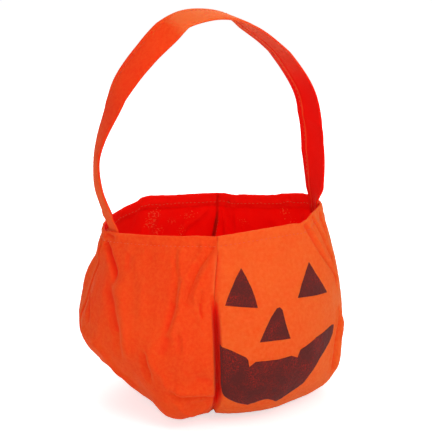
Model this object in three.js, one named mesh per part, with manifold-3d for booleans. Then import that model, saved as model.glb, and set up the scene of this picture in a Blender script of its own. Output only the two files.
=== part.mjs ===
import * as THREE from 'three';
import { mergeVertices } from 'three/addons/utils/BufferGeometryUtils.js';
import Module from 'manifold-3d';

// A soft round trick-or-treat bag sewn from four felt panels, with a strap handle over its mouth
// and a jack-o'-lantern face printed on one panel. Millimetres, +Z up, the strap runs along X.

const wasm = await Module();
wasm.setup();

// Main sizes
const BODY_LENGTH = 246;
const BODY_DEPTH = 207;
const RIM_HEIGHT = 170;
const STRAP_RISE = 166;
const STRAP_WIDTH = 28;
const STRAP_THICK = 2.2;

// Felt, hem and seam allowances
const FELT = 1.2;
const CLEAR = 0.3;
const HEM_SHARE = 0.046;
const ALLOWANCE = 7;
const ALLOWANCE_START = 0.08;
const POLE_RADIUS = 3.5;

// The four sewn edges, from the mouth down to the middle of the bottom. rim, bulge and foot are
// shares of the reach, which is half the body's length or depth; the heights are shares of the rim's.
// A sink is a dented stretch: from and to as shares down, and a depth that is below zero for a swelling.
// It spreads over soft millimetres on both panels. lift raises the rim.
const HALF_LENGTH = BODY_LENGTH / 2;
const HALF_DEPTH = BODY_DEPTH / 2;
const SEAMS = [
  { name: 'front', azimuth: -99, reach: HALF_DEPTH, rim: 0.725, rimHigh: 0.988, bulge: 0.995,
    bulgeHigh: 0.341, foot: 0.406, full: 0.55, rimAngle: -12, lobeAngle: 18, lift: 1.2 },
  { name: 'right', azimuth: 0, reach: HALF_LENGTH, rim: 0.821, rimHigh: 1.047, bulge: 1,
    bulgeHigh: 0.318, foot: 0.699, full: 0.62, rimAngle: 2, lobeAngle: 2 },
  { name: 'back', azimuth: 84, reach: HALF_DEPTH, rim: 0.734, rimHigh: 1.012, bulge: 1.005,
    bulgeHigh: 0.341, foot: 0.541, full: 0.55, rimAngle: -10, lobeAngle: 16, lift: -0.4,
    sinks: [[0.2, 0.7, 4]], soft: 9 },
  { name: 'left', azimuth: 180, reach: HALF_LENGTH, rim: 0.805, rimHigh: 0.941, bulge: 1,
    bulgeHigh: 0.441, foot: 0.276, full: 0.33, rimAngle: 2, lobeAngle: 4,
    sinks: [[0.07, 0.28, 4.2], [0.34, 0.56, -2.8]], soft: 28 },
].map((seam) => ({
  lift: 0,
  sinks: [],
  soft: 9,
  ...seam,
  rimR: seam.rim * seam.reach,
  rimZ: seam.rimHigh * RIM_HEIGHT,
  bulgeR: seam.bulge * seam.reach,
  bulgeZ: seam.bulgeHigh * RIM_HEIGHT,
  footR: seam.foot * seam.reach,
}));
const RIGHT = SEAMS[1];
const LEFT = SEAMS[3];

// The four panels between the seams: how far each section's curve leans out at rim, middle and foot.
// rimLifts are a share across and how far the rim is raised there. Folds are a form, its depth and half
// width, and a path of shares across and down; lumps are a place, a height and a radius.
const BULGE_HANDLE = 0.36;
const PANELS = [
  {
    name: 'face_panel',
    rimHandles: [0.42, 0.46],
    footHandles: [0.33, 0.33],
    colour: 0xf56423,
    rimLifts: [[0.1, 1.6], [0.25, 2], [0.42, 1.3], [0.5, -0.3], [0.6, 2], [0.7, 3], [0.8, 2.4], [0.9, 1]],
    folds: [
      ['valley', 3.4, 4, [[0.71, 0.36], [0.675, 0.424], [0.66, 0.471], [0.669, 0.544]]],
      ['ridge', 3.4, 6, [[0.77, 0.34], [0.745, 0.43], [0.735, 0.5], [0.75, 0.58]]],
      ['valley', 1.6, 3, [[0.86, 0.02], [0.87, 0.12], [0.86, 0.25]]],
    ],
    lumps: [[0.72, 0, -3.5, 14], [0.735, 0.585, 3.5, 16]],
  },
  {
    name: 'back_right_panel',
    rimHandles: [0.30, 0.20],
    footHandles: [0.36, 0.36],
    colour: 0xf04b14,
    rimLifts: [[0.1, 1.5], [0.2, 2.8], [0.3, 1.8], [0.45, -1], [0.55, -2], [0.72, -3], [0.88, -1.3]],
    folds: [
      ['valley', 2.4, 4, [[0.22, 0.04], [0.25, 0.2], [0.22, 0.36]]],
      ['step', 2.6, 5, [[0.5, 0.08], [0.45, 0.25], [0.47, 0.42]]],
      ['valley', 2.2, 3, [[0.74, 0.05], [0.77, 0.22], [0.73, 0.44]]],
      ['ridge', 1.6, 6, [[0.62, 0.2], [0.6, 0.42]]],
    ],
    lumps: [],
  },
  {
    name: 'back_left_panel',
    rimHandles: [0.42, 0.42],
    footHandles: [0.36, 0.36],
    colour: 0xf04b14,
    rimLifts: [[0.12, 1.4], [0.18, 2.2], [0.245, 3.6], [0.315, 5.6], [0.385, 6.8], [0.42, 6.3], [0.46, 3.8],
      [0.55, 2.5], [0.7, 0.5], [0.85, 0]],
    folds: [
      ['valley', 2.6, 5, [[0.3, 0.05], [0.33, 0.2], [0.31, 0.4]]],
      ['valley', 2.4, 3, [[0.68, 0.06], [0.62, 0.22], [0.6, 0.42]]],
      ['step', 2, 4, [[0.86, 0.08], [0.83, 0.26], [0.86, 0.46]]],
      ['ridge', 1.8, 5, [[0.08, 0.1], [0.15, 0.28], [0.14, 0.45]]],
      ['ridge', 1.6, 7, [[0.5, 0.3], [0.46, 0.5]]],
    ],
    lumps: [],
  },
  {
    name: 'left_front_panel',
    rimHandles: [0.16, 0.30],
    footHandles: [0.28, 0.70],
    colour: 0xf04b14,
    rimLifts: [[0.2, -0.3], [0.35, 0], [0.55, 0.5], [0.7, 0.95], [0.86, 1.7]],
    folds: [
      ['valley', 4.6, 3.2, [[0.19, 0.052], [0.231, 0.069], [0.349, 0.139], [0.37, 0.2]]],
      ['step', 3.6, 4.5, [[0.355, 0.14], [0.409, 0.227], [0.462, 0.34], [0.467, 0.393], [0.45, 0.45]]],
      ['step', 3.2, 2.4, [[0.766, 0.14], [0.771, 0.214], [0.748, 0.279], [0.72, 0.35]]],
      ['valley', 2.4, 5, [[0.732, 0.319], [0.709, 0.36], [0.687, 0.411]]],
      ['valley', 5.6, 2.5, [[0.97, 0.033], [0.883, 0.099], [0.831, 0.167], [0.816, 0.22]]],
      ['ridge', 2, 3.6, [[0.815, 0.14], [0.79, 0.19], [0.785, 0.24]]],
      ['step', 3.4, 2.6, [[0.72, 0.505], [0.799, 0.528], [0.908, 0.534], [0.99, 0.548]]],
      ['valley', 2.4, 4, [[0.84, 0.57], [0.9, 0.595], [0.985, 0.585]]],
      ['valley', 2.4, 5, [[0.82, 0.475], [0.92, 0.49], [0.99, 0.505]]],
      ['ridge', 2.4, 4, [[0.605, 0.36], [0.668, 0.464], [0.72, 0.524], [0.755, 0.57]]],
    ],
    lumps: [[0.77, 0.655, 8, 22], [0.5, 0.615, -7, 22], [0.655, 0.36, 1.8, 12]],
  },
];

// Height across a fold's line for a depth of 1, by the distance from it in half widths
const FORMS = {
  valley: (u) => -Math.exp(-u * u),
  ridge: (u) => Math.exp(-u * u),
  step: (u) => {
    const v = u > 0 ? u / 1.5 : u;
    return v * Math.exp(0.5 - v * v / 2);
  },
};
// A fold narrower than the grid can show is widened to this, and made shallower to match
const LEAST_WIDTH = 7.5;
const FOLD_FADE = 0.15;
const LINE_STEPS = 14;
// Reach in millimetres within which folds and lumps die out at a seam, and shares down over which a sink
// begins and ends and a rim's rise dies out
const SEAM_QUIET = 7;
const SINK_START = 0.06;
const SINK_END = 0.1;
const LIFT_DEPTH = 0.3;

// Panel grid: columns across, rows down
const COLUMNS = 16;
const ROWS = [0, HEM_SHARE / 2, HEM_SHARE, 0.08, 0.13, 0.18, 0.24, 0.30, 0.36, 0.42, 0.47, 0.52, 0.57,
  0.61, 0.65, 0.69, 0.73, 0.78, 0.86, 0.93, 1];
const FOLD_STEPS = 4;

// Strap: its two sewn ends lie on the hem, and it hinges just above the rim
const HEM_STACK = 2 * FELT + 2 * CLEAR;
const HINGE_LIFT_LEFT = 3.5;
const HINGE_LIFT_RIGHT = 2;
const HINGE_LEFT = [HEM_STACK + STRAP_THICK / 2 - LEFT.rimR, LEFT.rimZ + STRAP_WIDTH / 2 + HINGE_LIFT_LEFT];
const HINGE_RIGHT = [RIGHT.rimR - HEM_STACK - STRAP_THICK / 2,
  RIGHT.rimZ + STRAP_WIDTH / 2 + HINGE_LIFT_RIGHT];
const TAB_DEPTH = 15;
const STRAP_STATIONS = 44;
const STRAP_END_STATIONS = 5;
const STITCH_INSET = 5;
const STRAP_ACROSS = [1, 1 - 2 * STITCH_INSET / STRAP_WIDTH, 0, -1];

// Strap middle line between the hinges: shares of the half span and of the rise, twist in degrees
const STRAP_LINE = [
  [-1.088, 0.086, 5], [-1.109, 0.237, 1], [-1.066, 0.351, 5], [-0.953, 0.508, 17],
  [-0.843, 0.646, 32], [-0.66, 0.785, 38], [-0.45, 0.902, 43], [-0.271, 0.975, 30],
  [-0.042, 1.002, 15], [0.146, 0.99, 4], [0.334, 0.934, -13], [0.53, 0.85, -17.5],
  [0.735, 0.72, -24], [0.887, 0.571, -28], [0.956, 0.399, -31], [0.985, 0.218, -30],
];

// Threads
const THREAD_RADIUS = 0.35;
const THREAD_SIDES = 4;
const TACK_INSET = 4;
const TACK_STEPS = 16;
const TACK_DROPS = [4, 6.5, 9, 6.5];

// Printed face, as shares across and down the face panel
const PRINT_THICK = 0.4;
const PRINTS = {
  left_eye_print: [
    [0.115, 0.11], [0.09, 0.138], [0.065, 0.178], [0.035, 0.23], [0.105, 0.235],
    [0.185, 0.242], [0.175, 0.21], [0.16, 0.178], [0.135, 0.138],
  ],
  right_eye_print: [
    [0.5, 0.128], [0.47, 0.152], [0.43, 0.19], [0.4, 0.23], [0.495, 0.238], [0.61, 0.248],
    [0.57, 0.208], [0.53, 0.165],
  ],
  nose_print: [
    [0.295, 0.25], [0.28, 0.252], [0.25, 0.278], [0.225, 0.308], [0.21, 0.33], [0.195, 0.355],
    [0.27, 0.355], [0.35, 0.358], [0.33, 0.315], [0.31, 0.26],
  ],
  mouth_print: [
    [0.02, 0.364], [0.065, 0.382], [0.13, 0.405], [0.14, 0.415], [0.145, 0.44], [0.175, 0.422],
    [0.225, 0.422], [0.285, 0.422], [0.355, 0.418], [0.39, 0.43], [0.405, 0.405],
    [0.505, 0.38], [0.645, 0.365], [0.665, 0.37], [0.655, 0.395], [0.62, 0.42], [0.535, 0.458],
    [0.475, 0.507], [0.45, 0.538], [0.385, 0.565], [0.32, 0.598], [0.275, 0.582], [0.25, 0.57],
    [0.205, 0.582], [0.16, 0.6], [0.1, 0.58], [0.045, 0.548], [0.02, 0.52],
  ],
};

const FELT_ROUGH = 0.95;
const THREAD_COLOUR = 0xd8421a;
const INK_COLOUR = 0x4b2828;

// The whole bag is moved so that its origin is the middle of its outline's box, on the floor
const CENTRE = [-0.75, -0.21];

const radians = THREE.MathUtils.degToRad;
const vector = (x, y, z) => new THREE.Vector3(x, y, z);

function smooth(x) {
  const c = Math.min(Math.max(x, 0), 1);
  return c * c * (3 - 2 * c);
}

const rise = (x, low, high) => smooth((x - low) / (high - low));
const bell = (x) => Math.exp(-x * x);

// Height profile of one seam: neck, bulge, turned-under foot and flat bottom, by arc length
function seamProfile(seam) {
  const drop = seam.rimZ - seam.bulgeZ;
  const point = (r, z) => new THREE.Vector2(r, z);
  const upper = new THREE.CubicBezierCurve(
    point(seam.rimR, seam.rimZ),
    point(seam.rimR + 0.10 * drop, seam.rimZ - 0.35 * drop),
    point(seam.bulgeR, seam.bulgeZ + 0.45 * drop),
    point(seam.bulgeR, seam.bulgeZ),
  );
  const lower = new THREE.CubicBezierCurve(
    point(seam.bulgeR, seam.bulgeZ),
    point(seam.bulgeR, seam.bulgeZ * (1 - seam.full)),
    point(seam.footR + seam.full * (seam.bulgeR - seam.footR), 0),
    point(seam.footR, 0),
  );
  const line = [...upper.getPoints(79), ...lower.getPoints(59).slice(1), point(POLE_RADIUS, 0)];
  const length = [0];
  for (let i = 1; i < line.length; i += 1) {
    length.push(length[i - 1] + line[i].distanceTo(line[i - 1]));
  }
  return (share) => {
    const want = share * length.at(-1);
    let i = 1;
    while (i < line.length - 1 && length[i] < want) i += 1;
    const between = (want - length[i - 1]) / (length[i] - length[i - 1]);
    return line[i - 1].clone().lerp(line[i], between);
  };
}

const frames = SEAMS.map((seam) => {
  const a = radians(seam.azimuth);
  return {
    profile: seamProfile(seam),
    out: vector(Math.cos(a), Math.sin(a), 0),
    along: vector(-Math.sin(a), Math.cos(a), 0),
  };
});

// Place of a seam before its sinks and lift
function seamBase(s, down) {
  const p = frames[s].profile(down);
  return frames[s].out.clone().multiplyScalar(p.x).setZ(p.y);
}

// Outward direction of a seam's own curve, inside the seam's upright plane
function seamNormal(s, down) {
  const above = frames[s].profile(Math.max(down - 0.004, 0));
  const below = frames[s].profile(Math.min(down + 0.004, 1));
  const run = below.sub(above).normalize();
  return frames[s].out.clone().multiplyScalar(-run.y).setZ(run.x);
}

// How far a seam is dented, along its own normal
function seamSink(s, down) {
  const depth = SEAMS[s].sinks.reduce((sum, [from, to, deep]) => (
    sum + deep * rise(down, from, from + SINK_START) * (1 - rise(down, to - SINK_END, to))), 0);
  return seamNormal(s, down).multiplyScalar(-depth);
}

function seamPoint(s, down) {
  const lift = SEAMS[s].lift * (1 - rise(down, 0, LIFT_DEPTH));
  return seamBase(s, down).add(seamSink(s, down)).add(vector(0, 0, lift));
}

// Smooth outer surface of a panel: a cubic section between its two seams at every height
function surfacePoint(k, across, down) {
  const s0 = k;
  const s1 = (k + 1) % 4;
  const a = seamBase(s0, down);
  const b = seamBase(s1, down);
  const belly = smooth(down / 0.4);
  const low = smooth((down - 0.45) / 0.25);
  const chord = Math.hypot(b.x - a.x, b.y - a.y);
  const { rimHandles, footHandles } = PANELS[k];
  const reach = rimHandles.map((h, n) => {
    const middle = BULGE_HANDLE * (1 - low) + footHandles[n] * low;
    return (h * (1 - belly) + middle * belly) * chord;
  });
  const lean = (seam) => radians(seam.rimAngle + (seam.lobeAngle - seam.rimAngle) * belly);
  const a0 = lean(SEAMS[s0]);
  const a1 = lean(SEAMS[s1]);
  const p1 = a.clone()
    .addScaledVector(frames[s0].along, reach[0] * Math.cos(a0))
    .addScaledVector(frames[s0].out, reach[0] * Math.sin(a0));
  const p2 = b.clone()
    .addScaledVector(frames[s1].along, -reach[1] * Math.cos(a1))
    .addScaledVector(frames[s1].out, reach[1] * Math.sin(a1));
  p1.z = a.z + (b.z - a.z) / 3;
  p2.z = a.z + (b.z - a.z) * 2 / 3;
  return new THREE.CubicBezierCurve3(a, p1, p2, b).getPoint(across);
}

function surfaceNormal(k, across, down) {
  const e = 0.002;
  const side = surfacePoint(k, Math.min(across + e, 1), down)
    .sub(surfacePoint(k, Math.max(across - e, 0), down));
  const fall = surfacePoint(k, across, Math.min(down + e, 1))
    .sub(surfacePoint(k, across, Math.max(down - e, 0)));
  return fall.cross(side).normalize();
}

// Direction that one unit of felt thickness follows; at a seam it stays in the seam's plane
function thicknessDirection(k, across, down) {
  const n = surfaceNormal(k, across, down);
  if (across > 0 && across < 1) return n;
  const plane = frames[across === 0 ? k : (k + 1) % 4].along;
  const flat = n.clone().addScaledVector(plane, -n.dot(plane)).normalize();
  return flat.divideScalar(Math.max(flat.dot(n), 0.5));
}

// Places along each fold's path on its panel's smooth surface
const foldLines = PANELS.map(({ folds }, k) => folds.map(([, , , path]) => {
  const keys = path.map(([across, down]) => vector(across, down, 0));
  const curve = new THREE.CatmullRomCurve3(keys, false, 'centripetal');
  return curve.getPoints(LINE_STEPS).map((p) => surfacePoint(k, p.x, p.y));
}));

// Height of one fold at a place: its profile across the line, faded towards the line's two ends
function foldHeight(k, n, place, normal) {
  const [form, depth, width] = PANELS[k].folds[n];
  const line = foldLines[k][n];
  let best = { distance: Infinity, along: 0, side: 1 };
  for (let i = 0; i < LINE_STEPS; i += 1) {
    const run = line[i + 1].clone().sub(line[i]);
    const offset = place.clone().sub(line[i]);
    const share = Math.min(Math.max(offset.dot(run) / run.lengthSq(), 0), 1);
    const away = offset.addScaledVector(run, -share);
    const distance = away.length();
    if (distance < best.distance) {
      best = { distance, along: (i + share) / LINE_STEPS, side: Math.sign(run.cross(away).dot(normal)) };
    }
  }
  const fade = rise(best.along, 0, FOLD_FADE) * (1 - rise(best.along, 1 - FOLD_FADE, 1));
  const broad = Math.max(width, LEAST_WIDTH);
  return depth * Math.sqrt(width / broad) * FORMS[form](best.side * best.distance / broad) * fade;
}

// Folds and lumps of a panel at a place, which die out at its seams
function relief(k, place, normal, down) {
  const folds = PANELS[k].folds.reduce((sum, fold, n) => sum + foldHeight(k, n, place, normal), 0);
  const lumps = PANELS[k].lumps.reduce((sum, [across, low, height, radius]) => (
    sum + height * bell(place.distanceTo(surfacePoint(k, across, low)) / radius)), 0);
  const free = [k, (k + 1) % 4].reduce((product, s) => (
    product * (1 - bell(place.distanceTo(seamBase(s, down)) / SEAM_QUIET))), 1);
  return (folds + lumps) * free;
}

// How far a panel's rim is raised, between the lifts of its two seams
function rimLift(k, across) {
  const keys = [[0, SEAMS[k].lift], ...PANELS[k].rimLifts, [1, SEAMS[(k + 1) % 4].lift]];
  const n = Math.max(keys.findIndex(([share]) => share >= across), 1);
  const [[from, low], [to, high]] = keys.slice(n - 1, n + 1);
  return low + (high - low) * (across - from) / (to - from);
}

// Outer surface with its folds and lumps, the seams' sinks and the rim's rises, never below the floor
function formedPoint(k, across, down) {
  const place = surfacePoint(k, across, down);
  const normal = surfaceNormal(k, across, down);
  const point = place.clone().addScaledVector(normal, relief(k, place, normal, down));
  for (const s of [k, (k + 1) % 4]) {
    point.addScaledVector(seamSink(s, down), bell(place.distanceTo(seamBase(s, down)) / SEAMS[s].soft));
  }
  point.z = Math.max(point.z + rimLift(k, across) * (1 - rise(down, 0, LIFT_DEPTH)), 0);
  return point;
}

// Grid of each panel: surface points held half a clearance off the seam planes, and directions
const grids = PANELS.map((panel, k) => ROWS.map((down) => {
  const row = [];
  for (let i = 0; i <= COLUMNS; i += 1) {
    const across = i / COLUMNS;
    const point = formedPoint(k, across, down);
    if (i === 0) point.addScaledVector(frames[k].along, CLEAR / 2);
    if (i === COLUMNS) point.addScaledVector(frames[(k + 1) % 4].along, -CLEAR / 2);
    row.push({ point, thick: thicknessDirection(k, across, down) });
  }
  return row;
}));

// Point of a panel's faceted surface, raised outwards by an offset
function onPanel(k, across, down, offset) {
  const x = Math.min(Math.max(across, 0), 1) * COLUMNS;
  const i = Math.min(Math.floor(x), COLUMNS - 1);
  let j = 0;
  while (j < ROWS.length - 2 && ROWS[j + 1] < down) j += 1;
  const y = (down - ROWS[j]) / (ROWS[j + 1] - ROWS[j]);
  const raised = (node) => node.point.clone().addScaledVector(node.thick, offset);
  const upper = raised(grids[k][j][i]).lerp(raised(grids[k][j][i + 1]), x - i);
  const lower = raised(grids[k][j + 1][i]).lerp(raised(grids[k][j + 1][i + 1]), x - i);
  return upper.lerp(lower, y);
}

// Closed solid between two grids of points that face each other
function shell(front, back) {
  const rows = front.length;
  const cols = front[0].length;
  const points = [...front.flat(), ...back.flat()];
  const f = (j, i) => j * cols + i;
  const b = (j, i) => rows * cols + j * cols + i;
  const index = [];
  const quad = (p, q, r, s) => index.push(p, q, r, p, r, s);
  for (let j = 0; j < rows - 1; j += 1) {
    for (let i = 0; i < cols - 1; i += 1) {
      quad(f(j, i), f(j + 1, i), f(j + 1, i + 1), f(j, i + 1));
      quad(b(j, i), b(j, i + 1), b(j + 1, i + 1), b(j + 1, i));
    }
    quad(f(j, 0), b(j, 0), b(j + 1, 0), f(j + 1, 0));
    quad(f(j, cols - 1), f(j + 1, cols - 1), b(j + 1, cols - 1), b(j, cols - 1));
  }
  for (let i = 0; i < cols - 1; i += 1) {
    quad(f(0, i), f(0, i + 1), b(0, i + 1), b(0, i));
    quad(f(rows - 1, i), b(rows - 1, i), b(rows - 1, i + 1), f(rows - 1, i + 1));
  }
  return geometryFrom(points, index);
}

function geometryFrom(points, index) {
  const geometry = new THREE.BufferGeometry().setFromPoints(points);
  geometry.setIndex(index);
  return geometry;
}

function toSolid(geometry) {
  const bare = geometry.clone();
  bare.deleteAttribute('normal');
  bare.deleteAttribute('uv');
  const merged = mergeVertices(bare, 1e-4);
  return new wasm.Manifold(new wasm.Mesh({
    numProp: 3,
    vertProperties: new Float32Array(merged.attributes.position.array),
    triVerts: new Uint32Array(merged.index.array),
  }));
}

function toGeometry(solid) {
  const mesh = solid.getMesh();
  const geometry = new THREE.BufferGeometry();
  geometry.setAttribute('position', new THREE.BufferAttribute(mesh.vertProperties, 3));
  geometry.setIndex(new THREE.BufferAttribute(mesh.triVerts, 1));
  return geometry;
}

// Panel sheet: hem layer inside, fold over the rim, then the outer layer down to the bottom
function panelSheet(k) {
  const front = [];
  const back = [];
  const level = (j, outer, inner) => {
    front.push(grids[k][j].map((g) => g.point.clone().addScaledVector(g.thick, outer)));
    back.push(grids[k][j].map((g) => g.point.clone().addScaledVector(g.thick, inner)));
  };
  const hemOuter = -(2 * FELT + CLEAR);
  const hemInner = -(FELT + CLEAR);
  level(2, hemOuter, hemInner);
  level(1, hemOuter, hemInner);
  for (let step = 0; step <= FOLD_STEPS; step += 1) {
    const turn = Math.PI * (1 - step / FOLD_STEPS);
    const arc = (g, i, radius) => {
      const up = grids[k][0][i].point.clone().sub(grids[k][1][i].point).normalize();
      return g.point.clone()
        .addScaledVector(g.thick, -(FELT + CLEAR / 2) + radius * Math.cos(turn))
        .addScaledVector(up, radius * Math.sin(turn));
    };
    front.push(grids[k][0].map((g, i) => arc(g, i, FELT + CLEAR / 2)));
    back.push(grids[k][0].map((g, i) => arc(g, i, CLEAR / 2)));
  }
  for (let j = 1; j < ROWS.length; j += 1) level(j, 0, -FELT);
  return shell(front, back);
}

// Seam allowance: the strip of a panel's edge that is turned inwards along its seam
function allowance(s, side) {
  const near = [];
  const far = [];
  ROWS.filter((down) => down >= ALLOWANCE_START).forEach((down, n) => {
    const base = seamPoint(s, down);
    const inward = seamNormal(s, down).negate();
    const depth = Math.min(ALLOWANCE, 2.5 + 3 * n);
    const corner = (lateral, deep) => base.clone()
      .addScaledVector(frames[s].along, side * lateral)
      .addScaledVector(inward, deep);
    const pair = (lateral) => [corner(lateral, depth), corner(lateral, 0.4)];
    near.push(pair(CLEAR / 2));
    far.push(pair(CLEAR / 2 + FELT));
  });
  return side > 0 ? shell(near, far) : shell(far, near);
}

function panel(k) {
  return toGeometry(toSolid(panelSheet(k))
    .add(toSolid(allowance(k, 1)))
    .add(toSolid(allowance((k + 1) % 4, -1))));
}

// Round thread through a line of points, closed at both ends
function thread(points, sides = THREAD_SIDES, radius = THREAD_RADIUS) {
  const rings = points.map((p, n) => {
    const ahead = points[Math.min(n + 1, points.length - 1)];
    const behind = points[Math.max(n - 1, 0)];
    const run = ahead.clone().sub(behind).normalize();
    const first = run.clone().cross(Math.abs(run.z) > 0.9 ? vector(1, 0, 0) : vector(0, 0, 1));
    first.normalize();
    const second = run.clone().cross(first).normalize();
    const ring = [];
    for (let i = 0; i < sides; i += 1) {
      const turn = 2 * Math.PI * (i + 0.5) / sides;
      ring.push(p.clone()
        .addScaledVector(first, radius * Math.cos(turn))
        .addScaledVector(second, radius * Math.sin(turn)));
    }
    return ring;
  });
  const index = [];
  const at = (n, i) => n * sides + (i % sides);
  for (let n = 0; n < rings.length - 1; n += 1) {
    for (let i = 0; i < sides; i += 1) {
      index.push(at(n, i), at(n, i + 1), at(n + 1, i + 1));
      index.push(at(n, i), at(n + 1, i + 1), at(n + 1, i));
    }
  }
  for (let i = 1; i < sides - 1; i += 1) {
    index.push(at(0, 0), at(0, i + 1), at(0, i));
    index.push(at(rings.length - 1, 0), at(rings.length - 1, i), at(rings.length - 1, i + 1));
  }
  return geometryFrom(rings.flat(), index);
}

// Row of stitches that holds a panel's hem down, on the outside
function hemThread(k) {
  const points = [];
  const down = HEM_SHARE * 0.6;
  for (let i = 0; i <= 2 * COLUMNS; i += 1) {
    const across = 0.02 + 0.96 * i / (2 * COLUMNS);
    points.push(onPanel(k, across, down, CLEAR + THREAD_RADIUS));
  }
  return thread(points);
}

// Seam thread on the inside, beside the turned allowances
function seamThread(s) {
  const points = [];
  for (const down of ROWS.filter((v) => v > ALLOWANCE_START && v < 0.9)) {
    points.push(seamPoint(s, down)
      .addScaledVector(seamNormal(s, down), -4)
      .addScaledVector(frames[s].along, CLEAR / 2 + FELT + CLEAR + THREAD_RADIUS));
  }
  return thread(points);
}

// Distances along the rim from one of a panel's seams to each of its columns
function rimLengths(k, nearStart) {
  const row = nearStart ? grids[k][0] : [...grids[k][0]].reverse();
  const lengths = [0];
  for (let i = 1; i <= COLUMNS; i += 1) {
    lengths.push(lengths[i - 1] + row[i - 1].point.distanceTo(row[i].point));
  }
  return lengths;
}

// Share across a panel at a distance along its rim from one of its seams
function acrossFor(k, nearStart, distance) {
  const lengths = rimLengths(k, nearStart);
  const i = Math.max(lengths.findIndex((length) => length >= distance), 1);
  const share = (i - 1 + (distance - lengths[i - 1]) / (lengths[i] - lengths[i - 1])) / COLUMNS;
  return nearStart ? share : 1 - share;
}

// Lower end of the strap, sewn flat against the hem inside the mouth
function strapTab(s, lift) {
  const before = (s + 3) % 4;
  const outerOffset = -(2 * FELT + CLEAR + CLEAR);
  const rimZ = SEAMS[s].rimZ;
  const length = seamPoint(s, 0).distanceTo(seamPoint(s, 0.05)) / 0.05;
  const levels = [lift - CLEAR, 0, -HEM_SHARE * length / 2, -HEM_SHARE * length, -TAB_DEPTH];
  const half = STRAP_WIDTH / 2;
  const corners = (k, nearStart) => [
    ...rimLengths(k, nearStart).filter((length) => length > 0 && length < half - 1),
    half,
  ];
  const places = [...corners(before, false).reverse().map((length) => -length), 0, ...corners(s, true)];
  const line = (offset, height) => {
    const down = Math.max(-height, 0) / length;
    return places.map((w) => {
      const k = w < 0 ? before : s;
      const across = w < 0 ? acrossFor(k, false, -w) : acrossFor(k, true, w);
      const point = w === 0
        ? seamPoint(s, down).addScaledVector(seamNormal(s, down), offset)
        : onPanel(k, across, down, offset);
      if (height > 0) point.z = Math.max(rimZ + height, point.z + 0.1);
      return point;
    });
  };
  const outer = levels.map((height) => line(outerOffset, height));
  const inner = levels.map((height) => line(outerOffset - STRAP_THICK, height));
  return shell(outer, inner);
}

// Strap centre line from hinge to hinge, with its twist
const midX = (HINGE_LEFT[0] + HINGE_RIGHT[0]) / 2;
const halfSpan = (HINGE_RIGHT[0] - HINGE_LEFT[0]) / 2;
const midZ = (HINGE_LEFT[1] + HINGE_RIGHT[1]) / 2;
const strapKeys = [
  [...HINGE_LEFT, 0],
  ...STRAP_LINE.map(([x, z, twist]) => [midX + x * halfSpan, midZ + z * STRAP_RISE, twist]),
  [...HINGE_RIGHT, 0],
];
const strapCurve = new THREE.CatmullRomCurve3(
  strapKeys.map(([x, z]) => vector(x, 0, z)),
  false,
  'centripetal',
);
const strapTwist = new THREE.CatmullRomCurve3(
  strapKeys.map(([, , twist], n) => vector(n, twist, 0)),
);

// One cross line of the strap at a share of its length, or beyond its ends by an overrun
function strapSection(share, overrun, width) {
  const point = strapCurve.getPoint(share);
  const run = strapCurve.getTangent(share);
  const twist = radians(strapTwist.getPoint(share).y);
  const out = run.clone().cross(vector(0, 1, 0)).normalize();
  const wide = vector(0, Math.cos(twist), 0).addScaledVector(out, Math.sin(twist));
  const face = run.clone().cross(wide).normalize();
  point.addScaledVector(run, overrun);
  return { point, wide, face, half: width / 2 };
}

function strapSections() {
  const list = [];
  const radius = STRAP_WIDTH / 2;
  const round = (n) => Math.PI / 2 * n / STRAP_END_STATIONS;
  for (let n = 0; n < STRAP_END_STATIONS; n += 1) {
    const turn = round(n) + 0.12;
    list.push(strapSection(0, -radius * Math.cos(turn), 2 * radius * Math.sin(turn)));
  }
  for (let n = 0; n <= STRAP_STATIONS; n += 1) {
    list.push(strapSection(n / STRAP_STATIONS, 0, STRAP_WIDTH));
  }
  for (let n = STRAP_END_STATIONS - 1; n >= 0; n -= 1) {
    const turn = round(n) + 0.12;
    list.push(strapSection(1, radius * Math.cos(turn), 2 * radius * Math.sin(turn)));
  }
  return list;
}

function strap() {
  const sections = strapSections();
  const line = (side) => sections.map(({ point, wide, face, half }) => (
    STRAP_ACROSS.map((edge) => point.clone()
      .addScaledVector(wide, edge * half)
      .addScaledVector(face, side * STRAP_THICK / 2))));
  return shell(line(-1), line(1));
}

// Edge stitching that closes the folded strap, on its inner face
function strapThread() {
  const points = [];
  for (let n = 2; n <= STRAP_STATIONS - 2; n += 1) {
    const { point, wide, face } = strapSection(n / STRAP_STATIONS, 0, STRAP_WIDTH);
    const inner = vector(midX, 0, midZ + STRAP_RISE / 2).sub(point).setY(0);
    const side = Math.sign(face.dot(inner));
    points.push(point
      .addScaledVector(wide, STRAP_WIDTH / 2 - STITCH_INSET)
      .addScaledVector(face, side * (STRAP_THICK / 2 + CLEAR + THREAD_RADIUS)));
  }
  return thread(points);
}

// Zigzag of thread that fastens a strap end, on the tab's inner face
function tackThread(s) {
  const before = (s + 3) % 4;
  const offset = -(2 * FELT + 2 * CLEAR + STRAP_THICK + 2 * CLEAR + THREAD_RADIUS);
  const half = STRAP_WIDTH / 2 - TACK_INSET;
  const length = seamPoint(s, 0).distanceTo(seamPoint(s, 0.05)) / 0.05;
  const at = (w, drop) => {
    const k = w < 0 ? before : s;
    const across = w < 0 ? acrossFor(k, false, -w) : acrossFor(k, true, w);
    return onPanel(k, across, drop / length, offset);
  };
  const points = [];
  for (let n = 0; n <= TACK_STEPS; n += 1) {
    points.push(at(half * (1 - 2 * n / TACK_STEPS), TACK_DROPS[n % TACK_DROPS.length]));
  }
  return thread(points);
}

// Thin printed layer: the panel's outer facets raised a little, cut to the print's outline
const printRows = ROWS.map((down, j) => j).filter((j) => ROWS[j] >= 0.08 && ROWS[j] <= 0.65);

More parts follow.
